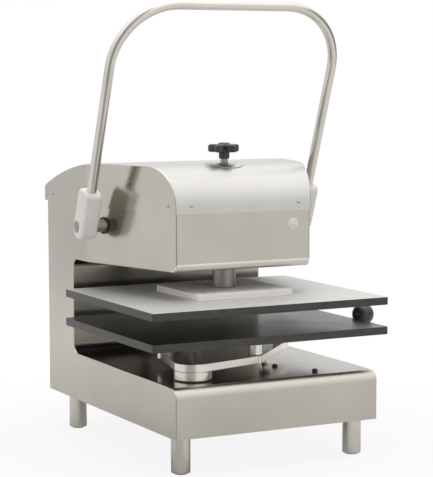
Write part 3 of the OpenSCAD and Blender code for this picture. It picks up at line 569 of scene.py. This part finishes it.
for side in (-1, 1):
    widths = [head_half(y, cover_grow) if k < bend_at else cover_high.x for k, (y, z) in enumerate(hood)]
    edges[side] = [bm.verts.new((side * w, y, z)) for w, (y, z) in zip(widths, hood)]
    bend_foot = bm.verts.new((side * cover_high.x, bend_y, cover_low.z))
    bm.faces.new(edges[side][: bend_at + 1] + [bend_foot])
    bm.faces.new(edges[side][bend_at:] + [bend_foot])
# The hood's lighter sheet is a painted highlight.
cover_highlight_sheet = stainless_sheet("stainless_cover_brushed", "#BAB8B3", "#CAC8C4", 0.26, 0.36)
cover_corner_r = 2.4
top_cover = fold_sheet("hood_cover", bm, edges, cover_corner_r, cover_highlight_sheet, brushed)
drill(top_cover, (0, press_axis.y, cover_high.z), d=72, depth=60)
flat_normals(top_cover)
lay_grain(top_cover)
for face in top_cover.data.polygons:
    if abs(face.normal.x) > 0.9:
        face.material_index = 1
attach(top_cover, "frame")
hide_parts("top_cover")

# A loose stainless disc closes the hole round the adjuster's screw. It lies on the roof and follows it.
disc_radii = (39, 32, 25, 18, 11)
disc_lift, disc_t = 0.1, 1.2
bm = turn([(r, 0) for r in disc_radii], 96)
for vert in bm.verts:
    vert.co.y += press_axis.y
    ahead = max(cover_low.y + cover_r - vert.co.y, 0)
    vert.co.z = cover_high.z - cover_r + math.sqrt(cover_r ** 2 - ahead ** 2) + disc_lift
# The disc takes the hood's lighter sheet, with its painted highlight.
dust_disc = new_piece("cover_dust_disc", bm, cover_highlight_sheet)
wall = dust_disc.modifiers.new("sheet", "SOLIDIFY")
wall.thickness = disc_t * MM
wall.offset = 1
flat_normals(bake(dust_disc))
lay_grain(dust_disc)
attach(dust_disc, "frame")

# Two screws in front, and three on each side: one in the tapered part and two behind the bend.
screw_z, taper_y = cover_low.z + 15.5, cover_low.y + 22
spots = [(x, cover_low.y, screw_z) for x in (-115, 120)]
aims = [(0, -1, 0)] * 2
for side in (-1, 1):
    spots.append((side * head_half(taper_y, cover_grow), taper_y, screw_z))
    aims.append((side * math.cos(side_tilt), -math.sin(side_tilt), 0))
    for y in (105, cover_high.y - 45):
        spots.append((side * cover_high.x, y, screw_z))
        aims.append((side, 0, 0))
cover_screws = repeat("cover_screws", pan_head(d=6.5, rise=2.0), zinc, spots, aims, spin=math.pi)
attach(cover_screws, "frame")


# Front plug
# A domed plug of pale moulded nylon, pressed into a spare hole in the head's front.
# It has a thin rim round a low dome.
plug_low, plug_high = box_mm("front_plug")
plug_r, plug_rise = (plug_high.x - plug_low.x) / 2, head_front - plug_low.y
plug = ease([(0, -1), (plug_r, -0.2), (plug_r, 0.8), (plug_r * 0.88, 1.2), (plug_r * 0.6, plug_rise * 0.82),
    (plug_r * 0.25, plug_rise * 0.98), (0, plug_rise)], 1.5)
spot = (middle("front_plug").x, head_front, middle("front_plug").z)
front_plug = repeat("front_hole_plug", turn(plug), pale_nylon, [spot], [(0, -1, 0)])
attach(front_plug, "frame")
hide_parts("front_plug")


# Handle shaft and bushings
# A ground steel shaft across the head, in two black nylon bushings with a collar on the side panels.
# Each end is chamfered and shows in its hub's outer face. The nylon is dull, with fine pits from its mould,
# drawn 1.4 mm wide so that they show.
black_nylon = worked_surface("nylon_moulded_black", 0.42, {"pits": (1.4, 2), "worn": (30, 3)},
    ("worn", "#1B1A18", "#2B2A27"), relief=("pits", 0.10, 0.3), ior=1.53)

shaft_low, shaft_high = box_mm("handle_shaft")
shaft_y, shaft_z = middle("handle_shaft").y, middle("handle_shaft").z
shaft_proud, shaft_chamfer = 0.5, 1.0
shaft_r, shaft_end = (shaft_high.z - shaft_low.z) / 2, shaft_high.x + shaft_proud
half_bar = [(shaft_r, shaft_end - shaft_chamfer), (shaft_r - shaft_chamfer, shaft_end), (0, shaft_end)]
bar = [(r, -x) for r, x in reversed(half_bar)] + half_bar
handle_shaft = repeat("handle_cross_shaft", turn(bar), plain_steel, [(0, shaft_y, shaft_z)], [(1, 0, 0)])
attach(handle_shaft, "handle")
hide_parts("handle_shaft")

bush_low, bush_high = box_mm("shaft_bushing_right")
bush_r = (bush_high.z - bush_low.z) / 2
wall_x = head_half(shaft_y)
sleeve_end = wall_x - bush_r * side_slope - sheet
sleeve = bar_profile(bush_r, bush_low.x, sleeve_end, edge=1.4, bore=shaft_r + 0.1)
bushings = repeat("shaft_bushing_pair", turn(sleeve), black_nylon,
    [(0, shaft_y, shaft_z)] * 2, [(1, 0, 0), (-1, 0, 0)])
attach(bushings, "frame")
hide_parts("shaft_bushing_left", "shaft_bushing_right")

# The bushing's collar lies flat on the slanting side panel.
collar_t, collar_sunk, collar_play = 2.8, 1.0, 1.05
collar = bar_profile(bush_r, -collar_sunk, collar_t, edge=0.6, bore=shaft_r + collar_play)
collar_y = shaft_y + (collar_t - collar_sunk) / 2 * math.sin(side_tilt)
collars = repeat("shaft_bushing_collars", turn(collar), black_nylon,
    [(side * wall_x, collar_y, shaft_z) for side in (1, -1)],
    [(side * math.cos(side_tilt), -math.sin(side_tilt), 0) for side in (1, -1)])
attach(collars, "frame")


# Handle hubs
# Two aluminium blocks pinned on the shaft's ends: a round foot, straight flanks and a chamfered top
# with a bored socket for the tube. Milled, then blasted to a pale satin, so the edges are soft. The mill's
# cuts still show faintly, drawn 2.2 mm apart.
satin_alu = worked_surface("aluminium_blasted_satin", 0.7, {"cuts": ((60, 2.2, 30), 2), "cloud": (35, 3)},
    ("cloud", "#E8E5DF", "#F1EFEA"), gloss=("cuts", 0.62, 0.78), relief=("cuts", 0.05, 0.2), metallic=0.2)

handle_lean = math.radians(20)
handle_set, hub_d, hub_top, hub_bottom = 9.0, 44.0, 79.0, 24.0
hub_in, hub_out = (corner.x for corner in box_mm("handle_hub_right"))
arm_x = (hub_in + hub_out) / 2


def on_handle(bm):
    """Puts a mesh drawn upright round the shaft's axis into the handle's lean."""
    bmesh.ops.rotate(bm, verts=bm.verts, matrix=Matrix.Rotation(handle_lean, 3, "X"))
    bmesh.ops.translate(bm, verts=bm.verts, vec=(0, shaft_y, shaft_z))
    return bm


hub_r, hub_mid, hub_chamfer, hub_edge = hub_d / 2, -handle_set / 2, hub_d / 6, 6.0
hub_side = arc((hub_mid, hub_r - hub_bottom), hub_r, 180, 360, 28)
hub_side += [(hub_mid + hub_r, hub_top - hub_chamfer), (hub_mid + hub_r - hub_chamfer, hub_top),
    (hub_mid - hub_r + hub_chamfer, hub_top), (hub_mid - hub_r, hub_top - hub_chamfer)]
for side, name in ((-1, "left"), (1, "right")):
    bm = slab(hub_side, hub_in, hub_out)
    bmesh.ops.rotate(bm, verts=bm.verts, matrix=Matrix(((0, 0, 1), (1, 0, 0), (0, 1, 0))))
    if side < 0:
        bmesh.ops.scale(bm, vec=(-1, 1, 1), verts=bm.verts)
        bmesh.ops.reverse_faces(bm, faces=bm.faces)
    hub = new_piece("hub_block_" + name, on_handle(bm), satin_alu)
    round_edges(hub, hub_edge, steps=6, least_angle=28)
    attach(hub, "handle")
    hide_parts("handle_hub_" + name)


# Handle
# One stainless tube bent to a wide U and glued into the hubs' sockets, polished along its length.
# It is swept along its bent line: two arms, two corner bends and the grip bar.
tube_tree, given = start_tree("bent_tube", ["Width", "Rise", "Foot", "Bend radius", "Tube diameter"])
half = put(tube_tree, "ShaderNodeMath", {0: given["Width"], 1: 0.5}, operation="MULTIPLY")
other = put(tube_tree, "ShaderNodeMath", {0: given["Width"], 1: -0.5}, operation="MULTIPLY")
tube_r = put(tube_tree, "ShaderNodeMath", {0: given["Tube diameter"], 1: 0.5}, operation="MULTIPLY")
ends = ((other, "Foot"), (other, "Rise"), (half, "Rise"), (half, "Foot"))
corners = [put(tube_tree, "ShaderNodeCombineXYZ", {"X": x, "Z": given[z]}) for x, z in ends]
path = put(tube_tree, "GeometryNodeCurvePrimitiveQuadrilateral", {
    f"Point {k + 1}": corner for k, corner in enumerate(corners)}, mode="POINTS")
opened = put(tube_tree, "GeometryNodeSetSplineCyclic", {"Geometry": path, "Cyclic": False})
bent = put(tube_tree, "GeometryNodeFilletCurve", {
    "Curve": opened, "Count": 24, "Radius": given["Bend radius"]}, mode="POLY")
ring = put(tube_tree, "GeometryNodeCurvePrimitiveCircle", {"Resolution": 40, "Radius": tube_r})
swept = put(tube_tree, "GeometryNodeCurveToMesh", {"Curve": bent, "Profile Curve": ring, "Fill Caps": True})
set_back = Matrix.Rotation(handle_lean, 3, "X") @ Vector((0, -handle_set, 0))
socket_spot = set_back + Vector((0, shaft_y, shaft_z))
leant = put(tube_tree, "GeometryNodeTransform", {
    "Geometry": swept, "Rotation": Euler((handle_lean, 0, 0)), "Translation": socket_spot * MM})
smooth = put(tube_tree, "GeometryNodeSetShadeSmooth", {"Geometry": leant})
end_tree(tube_tree, given, smooth)
bail = grow("bail_handle", tube_tree, {"Width": 2 * arm_x * MM, "Rise": 460 * MM, "Foot": 60 * MM,
    "Bend radius": 127 * MM, "Tube diameter": 19 * MM, "Finish": polished})
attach(bail, "handle")
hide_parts("handle_bail")


# Drive
# Pinion on the shaft, rack on a crosshead and the crosshead clamped on the ram, all cut from steel,
# with a coiled return spring round the ram, drawn at one length.
for name in ("drive_pinion", "drive_rack", "crosshead", "ram_cap"):
    finish_node(name, plain_steel)

spring_low, spring_high = box_mm("return_spring")
spring_wire, spring_coil_d, spring_turns = 4.5, 57.0, 6.0
spring_tree, given = start_tree("coil_spring", ["Turns", "Coil diameter", "Height", "Wire diameter"])
coil_r = put(spring_tree, "ShaderNodeMath", {0: given["Coil diameter"], 1: 0.5}, operation="MULTIPLY")
wire_r = put(spring_tree, "ShaderNodeMath", {0: given["Wire diameter"], 1: 0.5}, operation="MULTIPLY")
coil = put(spring_tree, "GeometryNodeCurveSpiral", {
    "Resolution": 40, "Rotations": given["Turns"], "Start Radius": coil_r,
    "End Radius": coil_r, "Height": given["Height"]})
ring = put(spring_tree, "GeometryNodeCurvePrimitiveCircle", {"Resolution": 14, "Radius": wire_r})
wound = put(spring_tree, "GeometryNodeCurveToMesh", {"Curve": coil, "Profile Curve": ring, "Fill Caps": True})
stood = put(spring_tree, "GeometryNodeTransform", {
    "Geometry": wound, "Translation": Vector((0, press_axis.y, spring_low.z + spring_wire / 2)) * MM})
smooth = put(spring_tree, "GeometryNodeSetShadeSmooth", {"Geometry": stood})
end_tree(spring_tree, given, smooth)
spring = grow("ram_return_spring", spring_tree, {"Turns": spring_turns, "Coil diameter": spring_coil_d * MM,
    "Height": (spring_high.z - spring_low.z - spring_wire) * MM, "Wire diameter": spring_wire * MM,
    "Finish": plain_steel})
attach(spring, "frame")
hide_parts("return_spring")
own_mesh(spring)


# Ram
# A round steel bar that slides through the head's floor, tapped into the plate below it.
# Its ends are eased, and it keeps the plain grey of the bar.
ram_low, ram_high = box_mm("ram")
rod = bar_profile((ram_high.x - ram_low.x) / 2, ram_low.z, ram_high.z, edge=1.5)
ram = repeat("ram_bar", turn(rod, 96), plain_steel, [(0, press_axis.y, 0)])
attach(ram, "ram")
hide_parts("ram")


# Upper platen and its mounting plate
# A thick aluminium plate with a baked black non-stick coating below and round its edges, and a grey
# anodised top. It is screwed to a smaller milled plate on the ram, and its sides and edges are drawn grey, a
# painted sheen.
# The coating is a satin black that use has dulled in places, with a faint peel, drawn 2.5 mm wide.
coated = worked_surface("aluminium_plate_black_coating", 0.20, {"peel": (2.5, 2), "use": (120, 4)},
    ("use", "#0C0B07", "#15130D"), gloss=("use", 0.18, 0.25), relief=("peel", 0.008, 0.3), ior=1.30)
# The same coating drawn lighter on the platens' sides and broken edges: a painted sheen, for the light they
# catch.
coating_edge_sheen = worked_surface("aluminium_plate_coating_rubbed", 0.4, {"sheen_mottle": (20, 4)},
    ("sheen_mottle", "#24221C", "#45423B"))
# The platen's upper face, hard anodised grey over milling: part metal, part oxide, with a soft sheen.
# The cutter's lines run across it, drawn 1.5 mm apart.
anodised = worked_surface("aluminium_plate_anodised_grey", 0.5,
    {"cuts": ((90, 1.5, 1000), 2), "stain": (140, 3)}, ("stain", "#CDCCC8", "#D9D8D5"),
    gloss=("cuts", 0.44, 0.54), metallic=0.2)
plate_corner = 4.5


def plate(name, node, edge, materials):
    """A flat plate in a CAD node's box, with round corners and broken edges in the last material."""
    low, high = box_mm(node)
    outline = [(low.x, low.y), (high.x, low.y), (high.x, high.y), (low.x, high.y)]
    made = new_piece(name, slab(ease(outline, plate_corner, 6, closed=True), low.z, high.z), *materials)
    last = len(materials) - 1
    round_edges(made, edge, least_angle=50, material=last)
    for face in made.data.polygons:
        if abs(face.normal.z) < 0.5:
            face.material_index = last
    return made


# The platen's sides and broken edges take the lighter coating, a painted sheen.
upper_platen = plate("upper_press_platen", "upper_platen", edge=0.8, materials=[coated, coating_edge_sheen])
upper_platen.data.materials.append(anodised)
for face in upper_platen.data.polygons:
    if face.normal.z > 0.99:
        face.material_index = 2
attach(upper_platen, "ram")
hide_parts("upper_platen")

mount_plate = plate("platen_mount_plate", "mount_plate", edge=1.2, materials=[satin_alu])
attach(mount_plate, "ram")
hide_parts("mount_plate")


def socket_head(d, rise):
    """A socket screw's round head with its six-sided recess, seated on the plane it is set on."""
    made = new_piece("socket_head", turn(bar_profile(d / 2, -6, rise, edge=0.5), 36))
    return drill(made, (0, 0, rise), d * 0.6, depth=8, sides=6)


mount_top, screw_x, screw_y = box_mm("mount_plate")[1].z, 75, 58
spots = [(x, press_axis.y + y, mount_top) for x in (-screw_x, screw_x) for y in (-screw_y, screw_y)]
mount_screws = repeat("platen_mount_screws", socket_head(d=14, rise=0.5), zinc, spots)
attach(mount_screws, "ram")
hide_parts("mount_screws")


# Thickness adjuster
# A black phenolic star knob on a steel screw through the roof. The knob is moulded with rounded lobes,
# a low crown and a neck, and the screw, collars and stop nut below it are hidden in the head.
# Phenolic is a deep black, and its gloss varies where it flowed into the mould.
phenolic = worked_surface("phenolic_moulded_black", 0.34, {"flow": (12, 3)},
    ("flow", "#20201D", "#33332F"), gloss=("flow", 0.28, 0.44), span=(0, 1), ior=1.6)

for name in ("adjuster_screw", "screw_collars"):
    finish_node(name, plain_steel)
finish_node("stop_nut", bronze)

knob_low, knob_high = box_mm("adjuster_knob")
knob_r, knob_lobes, knob_neck_r, knob_neck_h, knob_h, knob_steps = 32.0, 5, 10.5, 13.0, 15.0, 120


def star(inset):
    """The star's radii round its axis, pulled in by an inset."""
    waves = [0.5 + 0.5 * math.cos(knob_lobes * 2 * math.pi * k / knob_steps) for k in range(knob_steps)]
    return [knob_r * (0.58 + 0.42 * wave ** 0.75) - inset for wave in waves]


wing = knob_low.z + knob_neck_h
top = wing + knob_h
crown = knob_high.z - top
knob = [(0, knob_low.z), (knob_neck_r - 1, knob_low.z), (knob_neck_r, knob_low.z + 1),
    (knob_neck_r, wing - 2), (knob_neck_r + 2, wing)]
knob += [(star(inset), wing + rise) for inset, rise in ((4.0, 0), (1.4, 0.7), (0.3, 2.2), (0.0, 4.5))]
knob += [(star(inset), top + rise) for inset, rise in (
    (0.0, -5.0), (0.4, -2.6), (1.6, -0.8), (4.0, 0), (9.0, 0.4))]
knob += [(12.5, top + 0.5), (11.2, top + crown * 0.7), (7.0, top + crown * 0.93), (0, knob_high.z)]
bm = turn(knob, knob_steps)
bmesh.ops.translate(bm, verts=bm.verts, vec=(0, press_axis.y, 0))
star_knob = flat_normals(new_piece("star_knob", bm, phenolic), 50)
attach(star_knob, "adjuster")
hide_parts("adjuster_knob")


# Swing arm and its pivot
# A milled aluminium arm on a round boss turns about a steel pin in the base's front left corner, on a
# black nylon washer. A capped stud on the base catches the arm's far side when the press closes.
# Arm, boss and posts are bright from the cutter, whose fine lines are drawn 1.5 mm apart.
for name in ("pivot_block", "pivot_pin"):
    finish_node(name, plain_steel)
smooth_alu = worked_surface("aluminium_machined_bright", 0.28, {"cuts": ((30, 30, 1.5), 2), "cloud": (35, 3)},
    ("cloud", "#D2CEC5", "#E4E0D7"), gloss=("cuts", 0.22, 0.27), metallic=1.0)

pivot_low, pivot_high = box_mm("pivot_boss")
pivot = middle("pivot_boss")
boss_r = (pivot_high.x - pivot_low.x) / 2
pin_r = 12.55
ring = bar_profile(boss_r, pivot_low.z, pivot_high.z, edge=1.0, bore=pin_r)
boss = repeat("arm_pivot_boss", turn(ring, 96), smooth_alu, [(pivot.x, pivot.y, 0)])
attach(boss, "swing")
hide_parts("pivot_boss")

washer_low, washer_high = box_mm("pivot_washer")
washer_r = (washer_high.x - washer_low.x) / 2
ring = bar_profile(washer_r, washer_low.z, washer_high.z, edge=0.5, bore=pin_r)
washer = repeat("arm_pivot_washer", turn(ring, 96), black_nylon, [(pivot.x, pivot.y, 0)])
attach(washer, "frame")
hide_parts("pivot_washer")

pad_low, pad_high = box_mm("arm_rest_pad")
pad_r = (pad_high.x - pad_low.x) / 2
stalk_r, foot_r, cap_t = 4.0, 6.5, 6.0
stalk_top = pad_high.z - cap_t - 2
pad = ease([(0, pad_low.z), (foot_r, pad_low.z), (foot_r, pad_low.z + 2), (stalk_r, pad_low.z + 3),
    (stalk_r, stalk_top), (pad_r, pad_high.z - cap_t), (pad_r, pad_high.z), (0, pad_high.z)], 1.0)
pad_spot = middle("arm_rest_pad")
rest_pad = repeat("arm_rest_bumper", turn(pad), black_nylon, [(pad_spot.x, pad_spot.y, 0)])
# The bumper's stalk is a turned steel stud, and only its cap is nylon.
rest_pad.data.materials.append(polished)
for face in rest_pad.data.polygons:
    if face.center.z / MM < stalk_top:
        face.material_index = 1
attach(rest_pad, "frame")
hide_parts("arm_rest_pad")

# Two small black buttons, seen in the photograph beside the arm, are pressed into the base's top.
button_r, button_h, button_sunk = 5.5, 5.0, 1.5
button_foot, button_top = base_top - button_sunk, base_top + button_h
button = ease([(0, button_foot), (button_r, button_foot), (button_r, base_top + button_h / 2),
    (button_r - 1.5, button_top - 0.5), (0, button_top)], 0.8)
buttons = repeat("base_stop_buttons", turn(button, 32), black_nylon, [(63, -172, 0), (106, -252, 0)])
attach(buttons, "frame")

arm_low, arm_high = box_mm("swing_arm")
arm_line = Vector((0, press_axis.y)) - pivot.xy
arm_turn = math.atan2(arm_line.y, arm_line.x)
arm_l, table = arm_line.length, 210.0
near, far, edge = arm_l - table / 2, arm_l + table / 2, table / 2
flare = math.degrees(math.atan2(edge, near) + math.acos(boss_r / math.hypot(near, edge)))
outline = arc((0, 0), boss_r, flare, 360 - flare, 30)
outline += ease([(near, -edge), (far, -edge), (far, edge), (near, edge)], 6, 5, closed=True)
bm = slab(outline, arm_low.z, arm_high.z)
bmesh.ops.rotate(bm, verts=bm.verts, matrix=Matrix.Rotation(arm_turn, 3, "Z"))
bmesh.ops.translate(bm, verts=bm.verts, vec=(pivot.x, pivot.y, 0))
swing_arm = round_edges(new_piece("platen_swing_arm", bm, smooth_alu), r=1.2, least_angle=50)
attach(swing_arm, "swing")
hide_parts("swing_arm")


# Lower platen
# The same coated plate as above, on four turned aluminium posts at the corners of the arm's table.
# Bolts from counterbores in the arm's underside run up through the posts.
finish_node("post_bolts", plain_steel)
post_low, post_high = box_mm("platen_posts")
post_circle, post_r = 127.0, 12.5
angles = [arm_turn + math.pi / 4 + k * math.pi / 2 for k in range(4)]
spots = [(post_circle * math.cos(a), press_axis.y + post_circle * math.sin(a), 0) for a in angles]
post = bar_profile(post_r, post_low.z, post_high.z, edge=1.0)
posts = repeat("platen_post_set", turn(post), smooth_alu, spots)
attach(posts, "swing")
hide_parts("platen_posts")

# The platen's sides and broken edges take the lighter coating, a painted sheen.
lower_platen = plate("lower_press_platen", "lower_platen", edge=0.8, materials=[coated, coating_edge_sheen])
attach(lower_platen, "swing")
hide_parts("lower_platen")


# Pull knob
# A black phenolic ball on a stud, at the end of a flat aluminium bar screwed under the platen's right side.
# A thin flat ring shows where the ball sits on the bar.
for name in ("bracket_screws", "ball_stud"):
    finish_node(name, plain_steel)
bracket_low, bracket_high = box_mm("knob_bracket")
bracket_r = (bracket_high.y - bracket_low.y) / 2
bracket_y, bracket_end = (bracket_low.y + bracket_high.y) / 2, bracket_high.x - bracket_r
outline = [(bracket_low.x, bracket_low.y)]
outline += [(bracket_end + y, bracket_y + z) for y, z in arc((0, 0), bracket_r, -90, 90, 24)]
outline += [(bracket_low.x, bracket_high.y)]
bm = slab(outline, bracket_low.z, bracket_high.z)
bracket = round_edges(new_piece("pull_knob_bracket", bm, satin_alu), r=0.8, least_angle=50)
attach(bracket, "swing")
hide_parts("knob_bracket")

ball_low, ball_high = box_mm("ball_knob")
ball_r = (ball_high.x - ball_low.x) / 2
ball_spot = middle("ball_knob")
ball_z = ball_high.z - ball_r
seat_r, seat_h = 10.8, 1.5
seat_angle = math.degrees(math.asin((ball_low.z + seat_h - ball_z) / ball_r))
ball = [(0, ball_low.z), (seat_r - 0.3, ball_low.z), (seat_r, ball_low.z + 0.4)]
ball += arc((0, ball_z), ball_r, seat_angle, 90, 36)[:-1] + [(0, ball_high.z)]
pull_knob = repeat("pull_ball_knob", turn(ball), phenolic, [(ball_spot.x, ball_spot.y, 0)])
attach(pull_knob, "swing")
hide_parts("ball_knob")


# Studio
# A sheet of white paper under the press, which keeps its shadow and runs out to white, and one large
# softbox overhead. Camera, mirror and glass rays see a white room, brighter at its ceiling, and mirrors
# also see a dark flag at the right and the dim side where the camera stands, which draw the round metal.
camera_side, flag_side = (-0.643, -0.766, 0.0), (0.966, -0.259, 0.0)


def sort_rays(tree):
    """Tells a mirror's rays, and those that come from the camera straight or through glass."""
    seen = put(tree, "ShaderNodeLightPath")
    direct = put(tree, "ShaderNodeMath", {
        0: seen.outputs["Is Camera Ray"], 1: seen.outputs["Is Transmission Ray"]}, operation="MAXIMUM")
    return seen.outputs["Is Glossy Ray"], direct


def dim_side(tree, way):
    """How much light a mirror finds in a level direction: little where the camera stands."""
    heading = put(tree, "ShaderNodeVectorMath", {0: way}, operation="NORMALIZE")
    facing = put(tree, "ShaderNodeVectorMath", {0: heading, 1: camera_side}, operation="DOT_PRODUCT")
    return put(tree, "ShaderNodeMapRange", {
        "Value": facing, "From Min": 0.82, "From Max": 0.98, "To Min": 1.0, "To Max": 0.42},
        interpolation_type="SMOOTHSTEP")


paper = bpy.data.materials.new("studio_paper_white")
paper.use_nodes = True
tree = paper.node_tree
shader = tree.nodes["Principled BSDF"]
shader.inputs["Base Color"].default_value = linear("#DEDEDB")
shader.inputs["Roughness"].default_value = 0.9
shader.inputs["Specular IOR Level"].default_value = 0.1
glossy, direct = sort_rays(tree)
place = put(tree, "ShaderNodeTexCoord").outputs["Object"]
away = put(tree, "ShaderNodeVectorMath", {0: place}, operation="LENGTH")
white = put(tree, "ShaderNodeMapRange", {
    "Value": away, "From Min": 0.40, "From Max": 0.80, "To Min": 0.89, "To Max": 1.0})
mirrored = put(tree, "ShaderNodeMapRange", {
    "Value": away, "From Min": 0.40, "From Max": 1.40, "To Min": 0.25, "To Max": 1.0})
bright = put(tree, "ShaderNodeMix", {0: glossy, 2: 1.0, 3: dim_side(tree, place)})
seen_direct = put(tree, "ShaderNodeMath", {0: direct, 1: white}, operation="MULTIPLY")
seen_mirrored = put(tree, "ShaderNodeMath", {0: glossy, 1: mirrored}, operation="MULTIPLY")
share = put(tree, "ShaderNodeMath", {0: seen_direct, 1: seen_mirrored}, operation="MAXIMUM")
glow = put(tree, "ShaderNodeEmission", {"Color": (1, 1, 1, 1), "Strength": bright})
blend = put(tree, "ShaderNodeMixShader", {0: share, 1: shader, 2: glow})
tree.links.new(blend.outputs[0], tree.nodes["Material Output"].inputs["Surface"])
bm = bmesh.new()
bmesh.ops.create_grid(bm, x_segments=1, y_segments=1, size=2400)
floor = new_piece("studio_floor", bm, paper)

world = bpy.data.worlds.new("studio_white")
world.use_nodes = True
scene.world = world
tree = world.node_tree
glossy, direct = sort_rays(tree)
towards = put(tree, "ShaderNodeTexCoord").outputs["Generated"]
parts = put(tree, "ShaderNodeSeparateXYZ", {0: towards})
beside = put(tree, "ShaderNodeVectorMath", {0: towards, 1: flag_side}, operation="DOT_PRODUCT")
level_way = put(tree, "ShaderNodeVectorMath", {0: towards, 1: (1, 1, 0)}, operation="MULTIPLY")
dim = dim_side(tree, level_way)
ceiling, flag, behind, above = [put(tree, "ShaderNodeMapRange", {
    "Value": value, "From Min": start, "From Max": end, "To Min": least, "To Max": most},
    interpolation_type="SMOOTHSTEP") for value, start, end, least, most in (
        (parts.outputs["Z"], 0.0, 0.85, 1.0, 1.6), (beside, 0.78, 0.98, 1.0, 0.3),
        (parts.outputs["Y"], 0.5, 0.95, 1.0, 0.82), (parts.outputs["Z"], 0.86, 1.0, 0.0, 1.5))]
dark = put(tree, "ShaderNodeMath", {0: dim, 1: flag}, operation="MULTIPLY")
walls = put(tree, "ShaderNodeMath", {0: behind, 1: dark}, operation="MULTIPLY")
room = put(tree, "ShaderNodeMath", {0: ceiling, 1: walls, 2: above}, operation="MULTIPLY_ADD")
plain = put(tree, "ShaderNodeMix", {0: glossy, 2: 0.68, 3: room})
level = put(tree, "ShaderNodeMix", {0: direct, 2: plain, 3: 1.0})
tree.links.new(level.outputs[0], tree.nodes["Background"].inputs["Strength"])
tree.nodes["Background"].inputs["Color"].default_value = (1, 1, 1, 1)

lamp = bpy.data.lights.new("overhead_softbox", "AREA")
lamp.size = 2.4
lamp.energy = 36
softbox = bpy.data.objects.new("overhead_softbox", lamp)
softbox.location = (0.4, -0.2, 3.0)
softbox.visible_glossy = False
scene.collection.objects.link(softbox)
scene.view_settings.view_transform = "Standard"
